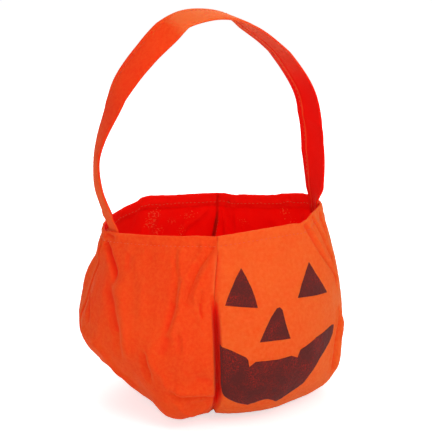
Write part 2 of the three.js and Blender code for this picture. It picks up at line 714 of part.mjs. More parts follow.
function printLayer() {
  const lift = (offset) => printRows.map((j) => grids[0][j].slice(0, COLUMNS).map((g) => g.point.clone()
    .addScaledVector(g.thick, offset)));
  return toSolid(shell(lift(CLEAR + PRINT_THICK), lift(CLEAR)));
}

function print(outline) {
  const corners = outline.map(([across, down]) => onPanel(0, across, down, CLEAR));
  const middle = corners.reduce((sum, p) => sum.add(p), vector(0, 0, 0)).divideScalar(corners.length);
  const mean = outline.reduce((sum, [across, down]) => sum.add(surfaceNormal(0, across, down)),
    vector(0, 0, 0)).normalize();
  const right = vector(0, 0, 1).cross(mean).normalize();
  const up = mean.clone().cross(right);
  const flat = corners.map((p) => {
    const d = p.clone().sub(middle);
    return new THREE.Vector2(d.dot(right), d.dot(up));
  });
  const reach = 45;
  const prism = new THREE.ExtrudeGeometry(new THREE.Shape(flat), { depth: 2 * reach, bevelEnabled: false });
  prism.translate(0, 0, -reach);
  prism.applyMatrix4(new THREE.Matrix4().makeBasis(right, up, mean).setPosition(middle));
  return toGeometry(printLayer().intersect(toSolid(prism)));
}

const bag = new THREE.Group();
bag.position.set(-CENTRE[0], -CENTRE[1], 0);

function addMesh(name, geometry, colour, roughness = FELT_ROUGH) {
  const material = new THREE.MeshStandardMaterial({ color: colour, roughness, metalness: 0 });
  const mesh = new THREE.Mesh(geometry, material);
  mesh.name = name;
  bag.add(mesh);
}

PANELS.forEach(({ name, colour }, k) => addMesh(name, panel(k), colour));
PANELS.forEach(({ name }, k) => {
  addMesh(`${name.replace('_panel', '')}_hem_thread`, hemThread(k), THREAD_COLOUR, 0.7);
});
SEAMS.forEach(({ name }, s) => addMesh(`${name}_seam_thread`, seamThread(s), THREAD_COLOUR, 0.7));

addMesh('handle_strap', strap(), 0xf04b14);
addMesh('handle_edge_thread', strapThread(), THREAD_COLOUR, 0.7);
addMesh('handle_end_left', strapTab(3, HINGE_LIFT_LEFT), 0xf04b14);
addMesh('handle_end_right', strapTab(1, HINGE_LIFT_RIGHT), 0xf04b14);
addMesh('handle_tack_left', tackThread(3), THREAD_COLOUR, 0.7);
addMesh('handle_tack_right', tackThread(1), THREAD_COLOUR, 0.7);

Object.entries(PRINTS).forEach(([name, outline]) => addMesh(name, print(outline), INK_COLOUR, 0.9));

export default bag;
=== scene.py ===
"""A round trick-or-treat bag of orange felt: four sewn panels, a strap over its mouth, a printed face.

Lengths are in millimetres and directions are plain vectors until a mesh is made, in metres. A place on
a panel is (across, down): the share of the way from its first seam to its second, and the share of
the way from the rim to the middle of the bottom.
"""

import logging
import math
from dataclasses import dataclass, field
from enum import Enum

import bmesh
import bpy
import numpy as np
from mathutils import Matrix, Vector


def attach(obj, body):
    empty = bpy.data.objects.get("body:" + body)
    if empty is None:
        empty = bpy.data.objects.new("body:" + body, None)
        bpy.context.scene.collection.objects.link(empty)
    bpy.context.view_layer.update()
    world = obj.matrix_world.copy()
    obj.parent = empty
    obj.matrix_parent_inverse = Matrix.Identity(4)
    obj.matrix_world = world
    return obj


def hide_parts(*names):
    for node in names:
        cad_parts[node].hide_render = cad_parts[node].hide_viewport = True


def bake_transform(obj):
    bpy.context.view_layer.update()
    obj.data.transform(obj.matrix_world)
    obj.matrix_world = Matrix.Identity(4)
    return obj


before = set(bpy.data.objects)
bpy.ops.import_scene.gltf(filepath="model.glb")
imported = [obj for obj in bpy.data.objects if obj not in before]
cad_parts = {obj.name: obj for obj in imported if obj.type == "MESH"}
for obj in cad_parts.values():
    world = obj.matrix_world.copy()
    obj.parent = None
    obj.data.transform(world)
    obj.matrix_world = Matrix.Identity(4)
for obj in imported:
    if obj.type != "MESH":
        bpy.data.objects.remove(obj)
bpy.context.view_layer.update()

log = logging.getLogger("bag")

Array = np.ndarray
Path = tuple[tuple[float, float], ...]

METRE = 0.001
UP = np.array([0.0, 0.0, 1.0])
ACROSS_STRAP = np.array([0.0, 1.0, 0.0])
# From the bag's own axis to the frame's origin.
ORIGIN = np.array([0.75, 0.21, 0.0])
# The felt's thickness, and the gap between two layers of it.
FELT = 1.2
CLEAR = 0.3
# Shares of the way down at which the hem ends, the rim's rises die out and the belly is full.
HEM_SHARE = 0.046
RIM_SHARE = 0.3
BELLY_SHARE = 0.4
# Distances from a seam within which it holds folds down, and within which the felt follows its sways.
SEAM_HOLD = 7.0
SWAY_REACH = 22.0
# A dent narrower than this is a cleft, and felt this deep in a crease or a cleft is at its deepest painted
# shade.
CLEFT_WIDTH = 8.0
DEEP_CREASE = 6.5
DEEP_CLEFT = 7.0
# A fold's line is worked out at this many points, and its height is nothing past this many widths.
FOLD_POINTS = 26
FOLD_REACH = 5.0
# Stitching follows a line of this many points, and on the allowances it lies this far in from the seam.
LINE_POINTS = 260
SEAM_STITCHING = 4.2
# The panels' tips are this far from the middle of the bottom, and the closed sheet ends this far from it.
TIP = 3.5
TIP_END = 0.35
# How many times in a metre the felt's fibres and its matted strands repeat.
FIBRE_SCALE = 2300.0
STRAND_SCALE = 620.0
# Amounts of lint on the open lining, and in the middle of a cluster above that.
THIN_LINT = 0.12
THICK_LINT = 0.95


def smooth(x: Array | float) -> Array:
    """Ease from 0 to 1: 3x^2 - 2x^3 on x held between 0 and 1."""
    x = np.clip(x, 0.0, 1.0)
    return x * x * (3.0 - 2.0 * x)


def rise(x: Array | float, low: float, high: float) -> Array:
    """Ease from 0 at low to 1 at high."""
    return smooth((np.asarray(x, float) - low) / (high - low))


def bell(x: Array | float) -> Array:
    """Bell curve exp(-x^2)."""
    return np.exp(-np.square(x))


def unit(v: Array) -> Array:
    """Vectors along the last axis, each divided by its length."""
    return v / np.maximum(np.linalg.norm(v, axis=-1, keepdims=True), 1e-9)


def dot(a: Array, b: Array) -> Array:
    """Products of vectors along the last axis, kept as a last axis of one."""
    return (a * b).sum(-1, keepdims=True)


def bezier(points: list, count: int) -> Array:
    """Cubic Bezier curve: (1-s)^3 a + 3(1-s)^2 s b + 3(1-s)s^2 c + s^3 d at even steps of s.

    Args:
        points: The four control points.
        count: How many points to give back.

    Returns:
        The curve's points, one per row.
    """
    a, b, c, d = (np.asarray(p, float) for p in points)
    s = np.linspace(0.0, 1.0, count)[:, None]
    r = 1.0 - s
    return r**3 * a + 3 * r * r * s * b + 3 * r * s * s * c + s**3 * d


def through(keys: Array, count: int) -> Array:
    """Centripetal Catmull-Rom curve through every key, at even steps of its length.

    Each stretch is the cubic whose end slopes are the differences of the neighbouring keys, with knots
    spaced by the square root of the distance between keys; the end keys are mirrored outwards.

    Args:
        keys: The points that the curve goes through, one per row, with any number of columns.
        count: How many points to give back.

    Returns:
        The curve's points, one per row, evenly spaced along it in its first columns.
    """
    keys = np.asarray(keys, float)
    p = np.vstack([2 * keys[0] - keys[1], keys, 2 * keys[-1] - keys[-2]])
    knots = np.r_[0.0, np.cumsum(np.sqrt(np.linalg.norm(np.diff(p, axis=0), axis=1)) + 1e-9)]
    fine = np.linspace(knots[1], knots[-2], 40 * len(keys))
    i = np.clip(np.searchsorted(knots, fine, side="right") - 1, 1, len(keys) - 1)
    k0, k1, k2, k3 = (knots[i + n][:, None] for n in (-1, 0, 1, 2))
    p0, p1, p2, p3 = (p[i + n] for n in (-1, 0, 1, 2))
    t = fine[:, None]
    a1 = ((k1 - t) * p0 + (t - k0) * p1) / (k1 - k0)
    a2 = ((k2 - t) * p1 + (t - k1) * p2) / (k2 - k1)
    a3 = ((k3 - t) * p2 + (t - k2) * p3) / (k3 - k2)
    b1 = ((k2 - t) * a1 + (t - k0) * a2) / (k2 - k0)
    b2 = ((k3 - t) * a2 + (t - k1) * a3) / (k3 - k1)
    line = ((k2 - t) * b1 + (t - k1) * b2) / (k2 - k1)
    length = np.r_[0.0, np.cumsum(np.linalg.norm(np.diff(line, axis=0), axis=1))]
    even = np.linspace(0.0, length[-1], count)
    return np.stack([np.interp(even, length, column) for column in line.T], axis=-1)


def ripple(points: Array, wavelength: float, seed: int, waves: int = 20) -> Array:
    """Even, cloudy unevenness: the sum of cosines of random direction, phase and like wavelength.

    Args:
        points: Places in millimetres, with the coordinates along the last axis.
        wavelength: Middle wavelength in millimetres.
        seed: Seed of the random directions, so each run gives the same surface.
        waves: How many cosines are added.

    Returns:
        One value for each place, with a standard deviation of about 1.
    """
    rng = np.random.default_rng(seed)
    directions = unit(rng.normal(size=(waves, 3)))
    rates = 2 * math.pi / (wavelength * rng.uniform(0.7, 1.4, waves))
    phases = rng.uniform(0.0, 2 * math.pi, waves)
    return np.cos(points @ (directions * rates[:, None]).T + phases).sum(-1) / math.sqrt(waves / 2)


def grid_quads(rows: int, cols: int, start: int = 0, turn: bool = False, ring: bool = False) -> Array:
    """Quads of a grid of vertices numbered row by row.

    Args:
        rows: Rows of vertices.
        cols: Vertices in a row.
        start: Number of the first vertex.
        turn: Whether the faces look the other way.
        ring: Whether each row closes on itself.

    Returns:
        Four vertex numbers for each face.
    """
    across = np.arange(cols if ring else cols - 1)
    j, i = np.meshgrid(np.arange(rows - 1), across, indexing="ij")
    n = (i + 1) % cols
    quads = np.stack([j * cols + i, (j + 1) * cols + i, (j + 1) * cols + n, j * cols + n], -1)
    quads = quads.reshape(-1, 4) + start
    return quads[:, ::-1] if turn else quads


def make_mesh(name: str, vertices: Array, faces: Array | list, flat: Array | None = None,
              slots: Array | None = None) -> bpy.types.Object:
    """Object with a mesh of the given vertices and faces, at the origin, in metres.

    Args:
        name: The object's name.
        vertices: Places in millimetres, one per row, before the bag's shift to its origin.
        faces: Vertex numbers of each face, in an array, or in a list where their counts differ.
        flat: Whether each face is shaded flat; all are smooth without it.
        slots: Material index of each face; 0 without it.

    Returns:
        The new object, linked to the scene.
    """
    mesh = bpy.data.meshes.new(name)
    places = (np.asarray(vertices, float).reshape(-1, 3) + ORIGIN) * METRE
    mesh.from_pydata(places, [], faces if isinstance(faces, list) else faces.tolist())
    count = len(mesh.polygons)
    even = np.ones(count, bool) if flat is None else ~np.asarray(flat, bool)
    mesh.polygons.foreach_set("use_smooth", even)
    if slots is not None:
        mesh.polygons.foreach_set("material_index", np.asarray(slots, np.int32))
    mesh.update()
    made = bpy.data.objects.new(name, mesh)
    bpy.context.scene.collection.objects.link(made)
    return made


def close_poles(made: bpy.types.Object, reach: float = 1e-5) -> None:
    """Merge vertices that share a place and drop the faces that this empties.

    Args:
        made: The object to mend.
        reach: Distance in metres within which vertices are one.
    """
    work = bmesh.new()
    work.from_mesh(made.data)
    bmesh.ops.remove_doubles(work, verts=work.verts, dist=reach)
    bmesh.ops.dissolve_degenerate(work, edges=work.edges, dist=reach)
    work.to_mesh(made.data)
    work.free()
    made.data.update()


def paint(made: bpy.types.Object, layer: str, values: Array) -> None:
    """Writes one number for each vertex into a layer that the materials read."""
    made.data.attributes.new(layer, "FLOAT", "POINT")
    made.data.attributes[layer].data.foreach_set("value", np.asarray(values, np.float32).ravel())


def closed_sheet(front: Array, back: Array) -> tuple[Array, Array, Array]:
    """Closed solid between two grids of points that face each other.

    Args:
        front: Grid of points of the side that faces outwards.
        back: Grid of the same size behind it.

    Returns:
        Vertices, faces, and for each face 0 on the front, 1 on the back and 2 on the cut edges.
    """
    rows, cols = front.shape[:2]
    size = rows * cols
    faces = [grid_quads(rows, cols), grid_quads(rows, cols, size, turn=True)]
    kinds = [np.zeros(len(faces[0]), int), np.ones(len(faces[1]), int)]
    index = np.arange(size).reshape(rows, cols)
    for edge in (index[:, 0], index[-1], index[::-1, -1], index[0, ::-1]):
        a, b = edge[:-1], edge[1:]
        faces.append(np.stack([a, a + size, b + size, b], -1))
        kinds.append(np.full(len(a), 2))
    return (np.concatenate([front.reshape(-1, 3), back.reshape(-1, 3)]),
            np.concatenate(faces), np.concatenate(kinds))


class Side(Enum):
    """Whether a panel starts or ends at a seam; the value is the sign of the way from the seam into it."""

    START = 1.0
    END = -1.0


class Form(Enum):
    """Profile of a fold across its line: sharp or round, in or out, or up on the walker's left only."""

    CREASE = "crease"
    VALLEY = "valley"
    CREST = "crest"
    RIDGE = "ridge"
    STEP = "step"

    def height(self, x: Array, width: float) -> Array:
        """Height for a depth of 1 at signed distances from the line.

        Sharp forms are exp(-|x|/w), round ones exp(-x^2/w^2), a step is (x/w) exp(1/2 - x^2/(2w^2)), with
        a tail half as long again on its high side. A crease has a low swelling on either side.

        Args:
            x: Distances in millimetres, above zero on the left of someone walking along the line.
            width: Half width in millimetres.

        Returns:
            Heights along the panel's outward direction.
        """
        u = x / width
        if self is Form.CREASE:
            return 0.22 * bell((np.abs(u) - 2.6) / 1.2) - np.exp(-np.abs(u))
        if self is Form.VALLEY:
            return -bell(u)
        if self is Form.CREST:
            return np.exp(-np.abs(u))
        if self is Form.RIDGE:
            return bell(u)
        u = np.where(u > 0, u / 1.5, u)
        return u * np.exp(0.5 - u * u / 2)


@dataclass(frozen=True)
class Sink:
    """A dented stretch of a seam between two shares down, or a swollen one where its depth is below zero.

    It dies out over ends_soft and starts_soft millimetres on the panels that end and start at the seam.
    It grows over a share of ease below its start and fades over a share of fade above its end.
    """

    first: float
    last: float
    depth: float
    ends_soft: float = 9.0
    starts_soft: float = 9.0
    ease: float = 0.06
    fade: float = 0.1

    @property
    def narrow(self) -> bool:
        """Whether it is a cleft with steep walls."""
        return self.depth > 0 and self.ends_soft < CLEFT_WIDTH

    def at(self, down: Array) -> Array:
        """Depth in millimetres at each share down."""
        begun = rise(down, self.first, self.first + self.ease)
        return self.depth * begun * (1 - rise(down, self.last - self.fade, self.last))

    def spread(self, away: Array, side: Side | None) -> Array:
        """Share of the depth at distances from the seam: exp(-x^2), or exp(-x^4) for a cleft."""
        x = away / (self.ends_soft if side is Side.END else self.starts_soft)
        return np.exp(-x**4) if self.narrow else bell(x)


@dataclass
class Seam:
    """One sewn edge of the bag, from the rim down to the middle of the bottom, in an upright plane.

    Reach is half the bag's size there; rim, bulge and foot are shares of it, and the heights are shares
    of the rim's height. Full is how round the profile turns under, from 0 to 1, and the angles are the
    degrees by which the panels lean outwards at the rim and at the bulge. Sways are (share down,
    millimetres towards the panel that starts here), lift is how much the rim is raised, and tilt is how
    many degrees the allowances lean to one side. Edges are (share down, amount) of painted light: above
    zero the panel that starts here gets a painted highlight along its rolled edge and the other one a line
    of painted shade beside it, and below zero the other way round.
    """

    name: str
    azimuth: float
    reach: float
    rim: float
    rim_high: float
    bulge: float
    bulge_high: float
    foot: float
    full: float
    rim_angle: float
    lobe_angle: float
    rim_height: float = 170.0
    sinks: tuple[Sink, ...] = ()
    sways: tuple[tuple[float, float], ...] = ((0.0, 0.0), (1.0, 0.0))
    edges: tuple[tuple[float, float], ...] = ((0.0, 0.0), (1.0, 0.0))
    lift: float = 0.0
    tilt: float = 0.0
    line_width: float = 3.0
    edge_width: float = 2.6
    line: Array = field(init=False)
    length: Array = field(init=False)

    def __post_init__(self) -> None:
        """Work out the profile: neck and bulge, turned-under foot, and the flat to the middle."""
        rim_r, rim_z = self.rim * self.reach, self.rim_high * self.rim_height
        bulge_r, bulge_z = self.bulge * self.reach, self.bulge_high * self.rim_height
        foot_r, drop = self.foot * self.reach, rim_z - bulge_z
        upper = bezier([(rim_r, rim_z), (rim_r + 0.10 * drop, rim_z - 0.35 * drop),
                        (bulge_r, bulge_z + 0.45 * drop), (bulge_r, bulge_z)], 80)
        lower = bezier([(bulge_r, bulge_z), (bulge_r, bulge_z * (1 - self.full)),
                        (foot_r + self.full * (bulge_r - foot_r), 0.0), (foot_r, 0.0)], 60)
        self.line = np.vstack([upper, lower[1:], [(TIP, 0.0)], [(TIP_END, 0.0)]])
        steps = np.linalg.norm(np.diff(self.line, axis=0), axis=1)
        self.length = np.r_[0.0, np.cumsum(steps)]
        self.length /= self.length[-2]

    @property
    def span(self) -> float:
        """Length of the seam in millimetres, from the rim to the middle of the bottom."""
        return float(np.linalg.norm(np.diff(self.line[:-1], axis=0), axis=1).sum())

    @property
    def last(self) -> float:
        """Share down at which the panels' sheets end, past their tips."""
        return float(self.length[-1])

    @property
    def out(self) -> Array:
        """Level direction from the bag's axis to the seam."""
        a = math.radians(self.azimuth)
        return np.array([math.cos(a), math.sin(a), 0.0])

    @property
    def along(self) -> Array:
        """Level direction square to the seam's plane, towards the panel that starts here."""
        a = math.radians(self.azimuth)
        return np.array([-math.sin(a), math.cos(a), 0.0])

    def profile(self, down: Array) -> Array:
        """Radius and height at each share down, by the length of the curve."""
        return np.stack([np.interp(down, self.length, self.line[:, n]) for n in (0, 1)], -1)

    def point(self, down: Array) -> Array:
        """Place of the seam at each share down, before any dent."""
        p = self.profile(down)
        return p[..., :1] * self.out + p[..., 1:] * UP

    def outward(self, down: Array) -> Array:
        """Direction square to the seam's own curve, inside its plane, away from the bag."""
        run = unit(self.profile(down + 0.004) - self.profile(down - 0.004))
        return -run[..., 1:] * self.out + run[..., :1] * UP

    def dent(self, down: Array, away: Array | None = None, side: Side | None = None) -> Array:
        """Moves of the felt by the seam's sinks, at the seam or at distances from it on one side."""
        depth = np.zeros_like(down)
        for sink in self.sinks:
            depth = depth + sink.at(down) * (1.0 if away is None else sink.spread(away, side))
        return -depth[..., None] * self.outward(down)

    def cleft(self, down: Array, away: Array, side: Side) -> Array:
        """Painted shade beside the seam: 1 in its clefts, 0 on the open felt, below zero for painted
        highlights.
        """
        share = np.zeros_like(away)
        for sink in self.sinks:
            if sink.narrow:
                share = share + sink.at(down) / DEEP_CLEFT * sink.spread(away, side)
        # Painted highlight on a rolled edge and painted shade in the line beside it.
        keys = np.array(self.edges)
        pale = np.interp(down, keys[:, 0], keys[:, 1]) * side.value
        deep = np.maximum(np.clip(share, 0.0, 1.0), -pale * bell(away / self.line_width))
        return np.where(pale > 0, deep * (1 - pale) - pale * bell(away / self.edge_width), deep)

    def sway(self, down: Array) -> Array:
        """How far the seam strays sideways, at each share down."""
        keys = np.array(self.sways)
        return np.interp(down, keys[:, 0], keys[:, 1])[..., None] * self.along

    def moved(self, down: Array) -> Array:
        """How far the seam is dented, sways, and is raised at the rim, at each share down."""
        lift = self.lift * (1 - rise(down, 0.0, RIM_SHARE))
        return self.dent(down) + self.sway(down) + lift[..., None] * UP

    def angle(self, down: Array) -> Array:
        """Lean of the panels' sections at the seam, in radians, from the rim's to the bulge's."""
        return np.radians(self.rim_angle + (self.lobe_angle - self.rim_angle) * smooth(down / BELLY_SHARE))


@dataclass(frozen=True)
class Fold:
    """A crease or ridge along a line on a panel, with its depth and half width in millimetres.

    It grows and fades over shares of the line's length at its two ends.
    """

    form: Form
    depth: float
    width: float
    path: Path
    fade_in: float = 0.2
    fade_out: float = 0.3


@dataclass(frozen=True)
class Lump:
    """A broad swelling of a panel, or a hollow where its height is below zero."""

    across: float
    down: float
    height: float
    radius: float


@dataclass(frozen=True)
class ShadePatch:
    """A patch of painted light: paler, a painted highlight, by an amount below zero, or deeper, painted
    shade, above it.
    """

    across: float
    down: float
    amount: float
    radius: float


@dataclass
class Panel:
    """One of the four felt panels, sewn to its neighbours along two seams and hemmed at the rim.

    Handles are how far the section's inner control points stand off the two seams, as shares of the
    chord, at the rim, at the belly and at the foot. Rim lifts are (share across, millimetres). Stitch is
    the depth of the hem's stitching below the rim, and hem_puff, hem_flare and hem_dip are the heights of
    the doubled hem, of its flare at the rim and of the dip along its stitching. Sway, gather and dimples
    are the heights of three sizes of unevenness. Roll and hem_roll are the radii with which the felt turns
    into a seam below the hem and in it, and allowance is how far it goes on inwards. Crowding is how much
    closer the mesh's columns lie beside the seams.
    """

    name: str
    start: Seam
    end: Seam
    rim_handles: tuple[float, float]
    foot_handles: tuple[float, float]
    flat_size: tuple[float, float]
    folds: tuple[Fold, ...] = ()
    lumps: tuple[Lump, ...] = ()
    rim_lifts: tuple[tuple[float, float], ...] = ()
    shade_patches: tuple[ShadePatch, ...] = ()
    stitch: float = 7.4
    seed: int = 1
    middle_handle: float = 0.36
    hem_puff: float = 0.35
    hem_flare: float = 0.7
    hem_dip: float = 0.5
    sway: float = 0.45
    gather: float = 0.35
    dimples: float = 0.07
    roll: float = 1.7
    hem_roll: float = 0.35
    allowance: float = 7.0
    crowding: float = 0.35
    columns: int = 152
    rows: int = 172
    hem_rows: int = 12
    fold_rows: int = 8
    turn_columns: int = 7
    allowance_columns: int = 5

    def base(self, across: Array, down: Array) -> Array:
        """Smooth outer surface: at each height a cubic Bezier section between the two seams.

        Its two inner control points stand off the seams along the level direction that leans outwards by
        the seam's angle, by shares of the chord that ease from the rim's to the bulge's to the foot's.

        Args:
            across: Shares of the way between the seams.
            down: Shares of the way down, of the same shape.

        Returns:
            Places in millimetres.
        """
        a, b = self.start.point(down), self.end.point(down)
        belly, low = smooth(down / BELLY_SHARE), smooth((down - 0.45) / 0.25)
        chord = np.linalg.norm((b - a)[..., :2], axis=-1)
        reach = [(h * (1 - belly) + (self.middle_handle * (1 - low) + f * low) * belly) * chord
                 for h, f in zip(self.rim_handles, self.foot_handles)]
        controls = []
        for seam, side, length, foot, share in ((self.start, 1.0, reach[0], a, 1 / 3),
                                                (self.end, -1.0, reach[1], b, 2 / 3)):
            lean = seam.angle(down)[..., None]
            p = foot + length[..., None] * (side * np.cos(lean) * seam.along + np.sin(lean) * seam.out)
            p[..., 2] = a[..., 2] + (b - a)[..., 2] * share
            controls.append(p)
        t = np.asarray(across, float)[..., None]
        r = 1 - t
        return r**3 * a + 3 * r * r * t * controls[0] + 3 * r * t * t * controls[1] + t**3 * b

    def base_normal(self, across: Array, down: Array, step: float = 0.003) -> Array:
        """Outward direction of the smooth surface: its slope down crossed with its slope across."""
        side = self.base(np.minimum(across + step, 1), down) - self.base(np.maximum(across - step, 0), down)
        fall = self.base(across, np.minimum(down + step, 1)) - self.base(across, np.maximum(down - step, 0))
        return unit(np.cross(fall, side))

    def fold_height(self, fold: Fold, places: Array, normals: Array) -> Array:
        """Height of one fold: its form's profile across its line, faded at the line's ends.

        Args:
            fold: The fold.
            places: Places on the smooth surface.
            normals: The surface's directions there.

        Returns:
            Millimetres along the normal for each place.
        """
        keys = through(np.asarray(fold.path, float), FOLD_POINTS)
        line = self.base(keys[:, 0], keys[:, 1])
        a, run = line[:-1], np.diff(line, axis=0)
        reach = FOLD_REACH * fold.width
        near = ((places > line.min(0) - reach) & (places < line.max(0) + reach)).all(-1)
        height = np.zeros(places.shape[:-1])
        if not near.any():
            return height
        p, n = places[near], normals[near]
        offset = p[:, None] - a
        share = np.clip((offset * run).sum(-1) / (run * run).sum(-1), 0.0, 1.0)
        away = offset - share[..., None] * run
        distance = np.linalg.norm(away, axis=-1)
        best = distance.argmin(1)
        pick = np.arange(len(p))
        left = (np.cross(run[best], away[pick, best]) * n).sum(-1) > 0
        x = np.where(left, 1.0, -1.0) * distance[pick, best]
        along = (best + share[pick, best]) / len(run)
        fade = rise(along, -0.001, fold.fade_in) * (1 - rise(along, 1 - fold.fade_out, 1.001))
        ends = np.maximum(np.abs(offset[:, 0] @ unit(run[0])) * (along <= 0), 0)
        ends = ends + np.abs((p - line[-1]) @ unit(run[-1])) * (along >= 1)
        height[near] = fold.depth * fold.form.height(x, fold.width) * fade * bell(ends / fold.width)
        return height

    def patch(self, places: Array, across: float, down: float, radius: float) -> Array:
        """Bell curve of the distance from one place on the panel: 1 there, and little past the radius."""
        middle = self.base(np.array(across), np.array(down))
        return bell(np.linalg.norm(places - middle, axis=-1) / radius)

    def surface(self, across: Array, down: Array) -> Array:
        """Outer surface with its dents, folds, swellings, hem and unevenness."""
        return self.formed(across, down)[0]

    def formed(self, across: Array, down: Array) -> tuple[Array, Array]:
        """Outer surface, and its painted shade: how deep it lies in its creases, below zero for painted
        highlights.

        Smooth surface, plus along its normal the folds, swellings and ripples, which die out at the seams,
        plus the seams' own dents, which die out away from them, plus the rim's rises.

        Args:
            across: Shares of the way between the seams.
            down: Shares of the way down, of the same shape.

        Returns:
            Places in millimetres, never below the floor, and painted shade: shares from 0, on the open felt,
            to
            1, or below zero for a painted highlight.
        """
        places, normals = self.base(across, down), self.base_normal(across, down)
        from_start = np.linalg.norm(places - self.start.point(down), axis=-1)
        from_end = np.linalg.norm(places - self.end.point(down), axis=-1)
        free = (1 - bell(from_start / SEAM_HOLD)) * (1 - bell(from_end / SEAM_HOLD))
        height = np.zeros_like(from_start)
        for fold in self.folds:
            height += self.fold_height(fold, places, normals)
        # Painted shade in the folds' hollows, then patches of painted highlight and painted shade.
        shade = np.clip(-height * free / DEEP_CREASE, 0.0, 0.75)
        for shade_patch in self.shade_patches:
            shade += shade_patch.amount * self.patch(places, shade_patch.across, shade_patch.down, shade_patch.radius)
        for lump in self.lumps:
            height += lump.height * self.patch(places, lump.across, lump.down, lump.radius)
        height = (height + self.unevenness(places, down)) * free + self.hem_height(places, down)
        moved = places + height[..., None] * normals
        for seam, side, away in ((self.start, Side.START, from_start), (self.end, Side.END, from_end)):
            moved += seam.dent(down, away, side)
            moved += seam.sway(down) * bell(away / SWAY_REACH)[..., None]
            cleft = seam.cleft(down, away, side)
            shade = np.where(cleft < 0, np.minimum(shade, cleft), np.maximum(shade, cleft))
        lifts = through(np.array([(0.0, self.start.lift), *self.rim_lifts, (1.0, self.end.lift)]), 80)
        moved[..., 2] += np.interp(across, lifts[:, 0], lifts[:, 1]) * (1 - rise(down, 0.0, RIM_SHARE))
        moved[..., 2] = np.maximum(moved[..., 2], 0.0)
        return moved, np.clip(shade, -1.0, 1.0)

    def unevenness(self, places: Array, down: Array) -> Array:
        """Height of broad waves, of gathers drawn out down the panel's upper half, and of dimples."""
        waves = self.sway * ripple(places, 46.0, self.seed) * (0.4 + 0.6 * rise(down, 0.03, 0.2))
        drawn_out = places * np.array([1.0, 1.0, 0.28])
        upper = rise(down, 0.01, 0.06) * (1 - rise(down, 0.5, 0.8))
        gathers = self.gather * ripple(drawn_out, 17.0, self.seed + 10) * upper
        return waves + gathers + self.dimples * ripple(places, 5.0, self.seed + 20)

    def hem_height(self, places: Array, down: Array) -> Array:
        """Height of the hem: two layers that flare to the rim, drawn in along the stitching."""
        below = down * self.start.span - self.stitch
        puff = self.hem_puff * (1 - rise(below, -0.5, 2.5))
        flare = self.hem_flare * rise(-below / self.stitch, 0.0, 1.0)
        dip = self.hem_dip * bell(below) * (1.0 + 0.35 * ripple(places, 7.0, self.seed + 40))
        pucker_above = 0.3 * bell((below + 2.0) / 4.0) * ripple(places, 8.0, self.seed + 30)
        pucker_below = 0.25 * bell((below - 4.0) / 5.0) * ripple(places, 11.0, self.seed + 50)
        return puff + flare - dip + pucker_above + pucker_below

    def roll_at(self, down: Array) -> Array:
        """Radius with which the felt rolls into a seam: small in the hem and at the tip, full between."""
        full = rise(down, 0.8 * HEM_SHARE, 1.7 * HEM_SHARE)
        shrink = 0.06 + 0.94 * (1 - rise(down, 0.93, 1.0))
        return (self.hem_roll + (self.roll - self.hem_roll) * full) * shrink

    def per_share(self, down: Array, side: Side, step: float = 0.01) -> Array:
        """Millimetres across the panel for one share across, close to a seam."""
        near = 0.0 if side is Side.START else 1.0
        beside = self.base(np.full_like(down, near + step * side.value), down)
        return np.linalg.norm(beside - self.base(np.full_like(down, near), down), axis=-1) / step

    def rolled(self, across: Array, down: Array) -> Array:
        """Outer surface with the felt rolled into the seams: a quarter circle beside each seam."""
        places = self.surface(across, down)
        radius = self.roll_at(down)
        for side, seam, share in ((Side.START, self.start, across), (Side.END, self.end, 1 - across)):
            x = np.clip(share * self.per_share(down, side), 0.0, radius)
            drop = radius - np.sqrt(np.maximum(radius**2 - (radius - x) ** 2, 0.0))
            places = places - drop[..., None] * seam.outward(down)
        return places

    def normal(self, across: Array, down: Array, step: float = 0.004) -> Array:
        """Outward direction of the finished outer surface, from its slopes down and across."""
        before, after = np.maximum(across - step, 0), np.minimum(across + step, 1)
        side = self.rolled(after, down) - self.rolled(before, down)
        fall = self.rolled(across, down + step) - self.rolled(across, np.maximum(down - step, 0))
        return unit(np.cross(fall, side))

    def sheet(self) -> tuple[Array, Array, Array, Array, Array]:
        """Closed mesh of the panel: hem, turn over the rim, outer side and seam allowances.

        The outer side is the surface on a grid. Beside each seam the sheet turns through a quarter circle
        and goes on inwards as the allowance. At the rim it turns over and comes down inside as the hem.

        Returns:
            Vertices, faces, whether each face is a cut edge, its material index, and the painted shade of
            each
            vertex: how deep it lies in a crease, below zero for a painted highlight.
        """
        last = min(self.start.last, self.end.last)
        hem = np.linspace(0.0, HEM_SHARE, self.hem_rows)
        body = HEM_SHARE + (last - HEM_SHARE) * np.linspace(0, 1, self.rows - self.hem_rows + 1)[1:]
        down = np.r_[hem, body]
        turns = np.radians(np.linspace(90, 0, self.turn_columns))
        radius = self.roll_at(down)[:, None]
        across = self.columns_across(down, radius * (1 - np.sin(turns)))
        count = across.shape[1]
        outer, shade = self.formed(across, np.repeat(down[:, None], count, 1))
        normals = unit(np.cross(np.gradient(outer, axis=0), np.gradient(outer, axis=1)))
        bend = np.zeros(count)
        bend[:self.turn_columns], bend[-self.turn_columns:] = turns, turns[::-1]
        half = np.arange(count) < count // 2
        out = np.where(half[:, None], self.start.outward(down)[:, None], self.end.outward(down)[:, None])
        inside = np.where(half[:, None], self.start.along, -self.end.along)
        front = outer - (radius * (1 - np.cos(bend)))[..., None] * out
        facing = normals * np.cos(bend)[:, None] - inside * np.sin(bend)[:, None]
        front, back = self.with_allowances(front, front - FELT * facing, down)
        vertices, faces, cut, slots = self.with_hem(front, back, self.pad(normals), down)
        deep = np.zeros(len(vertices))
        outside = self.pad(shade[..., None]).ravel()
        rim = self.fold_rows // 2 * front.shape[1]
        deep[rim:rim + len(outside)] = outside
        return vertices, faces, cut, slots, deep

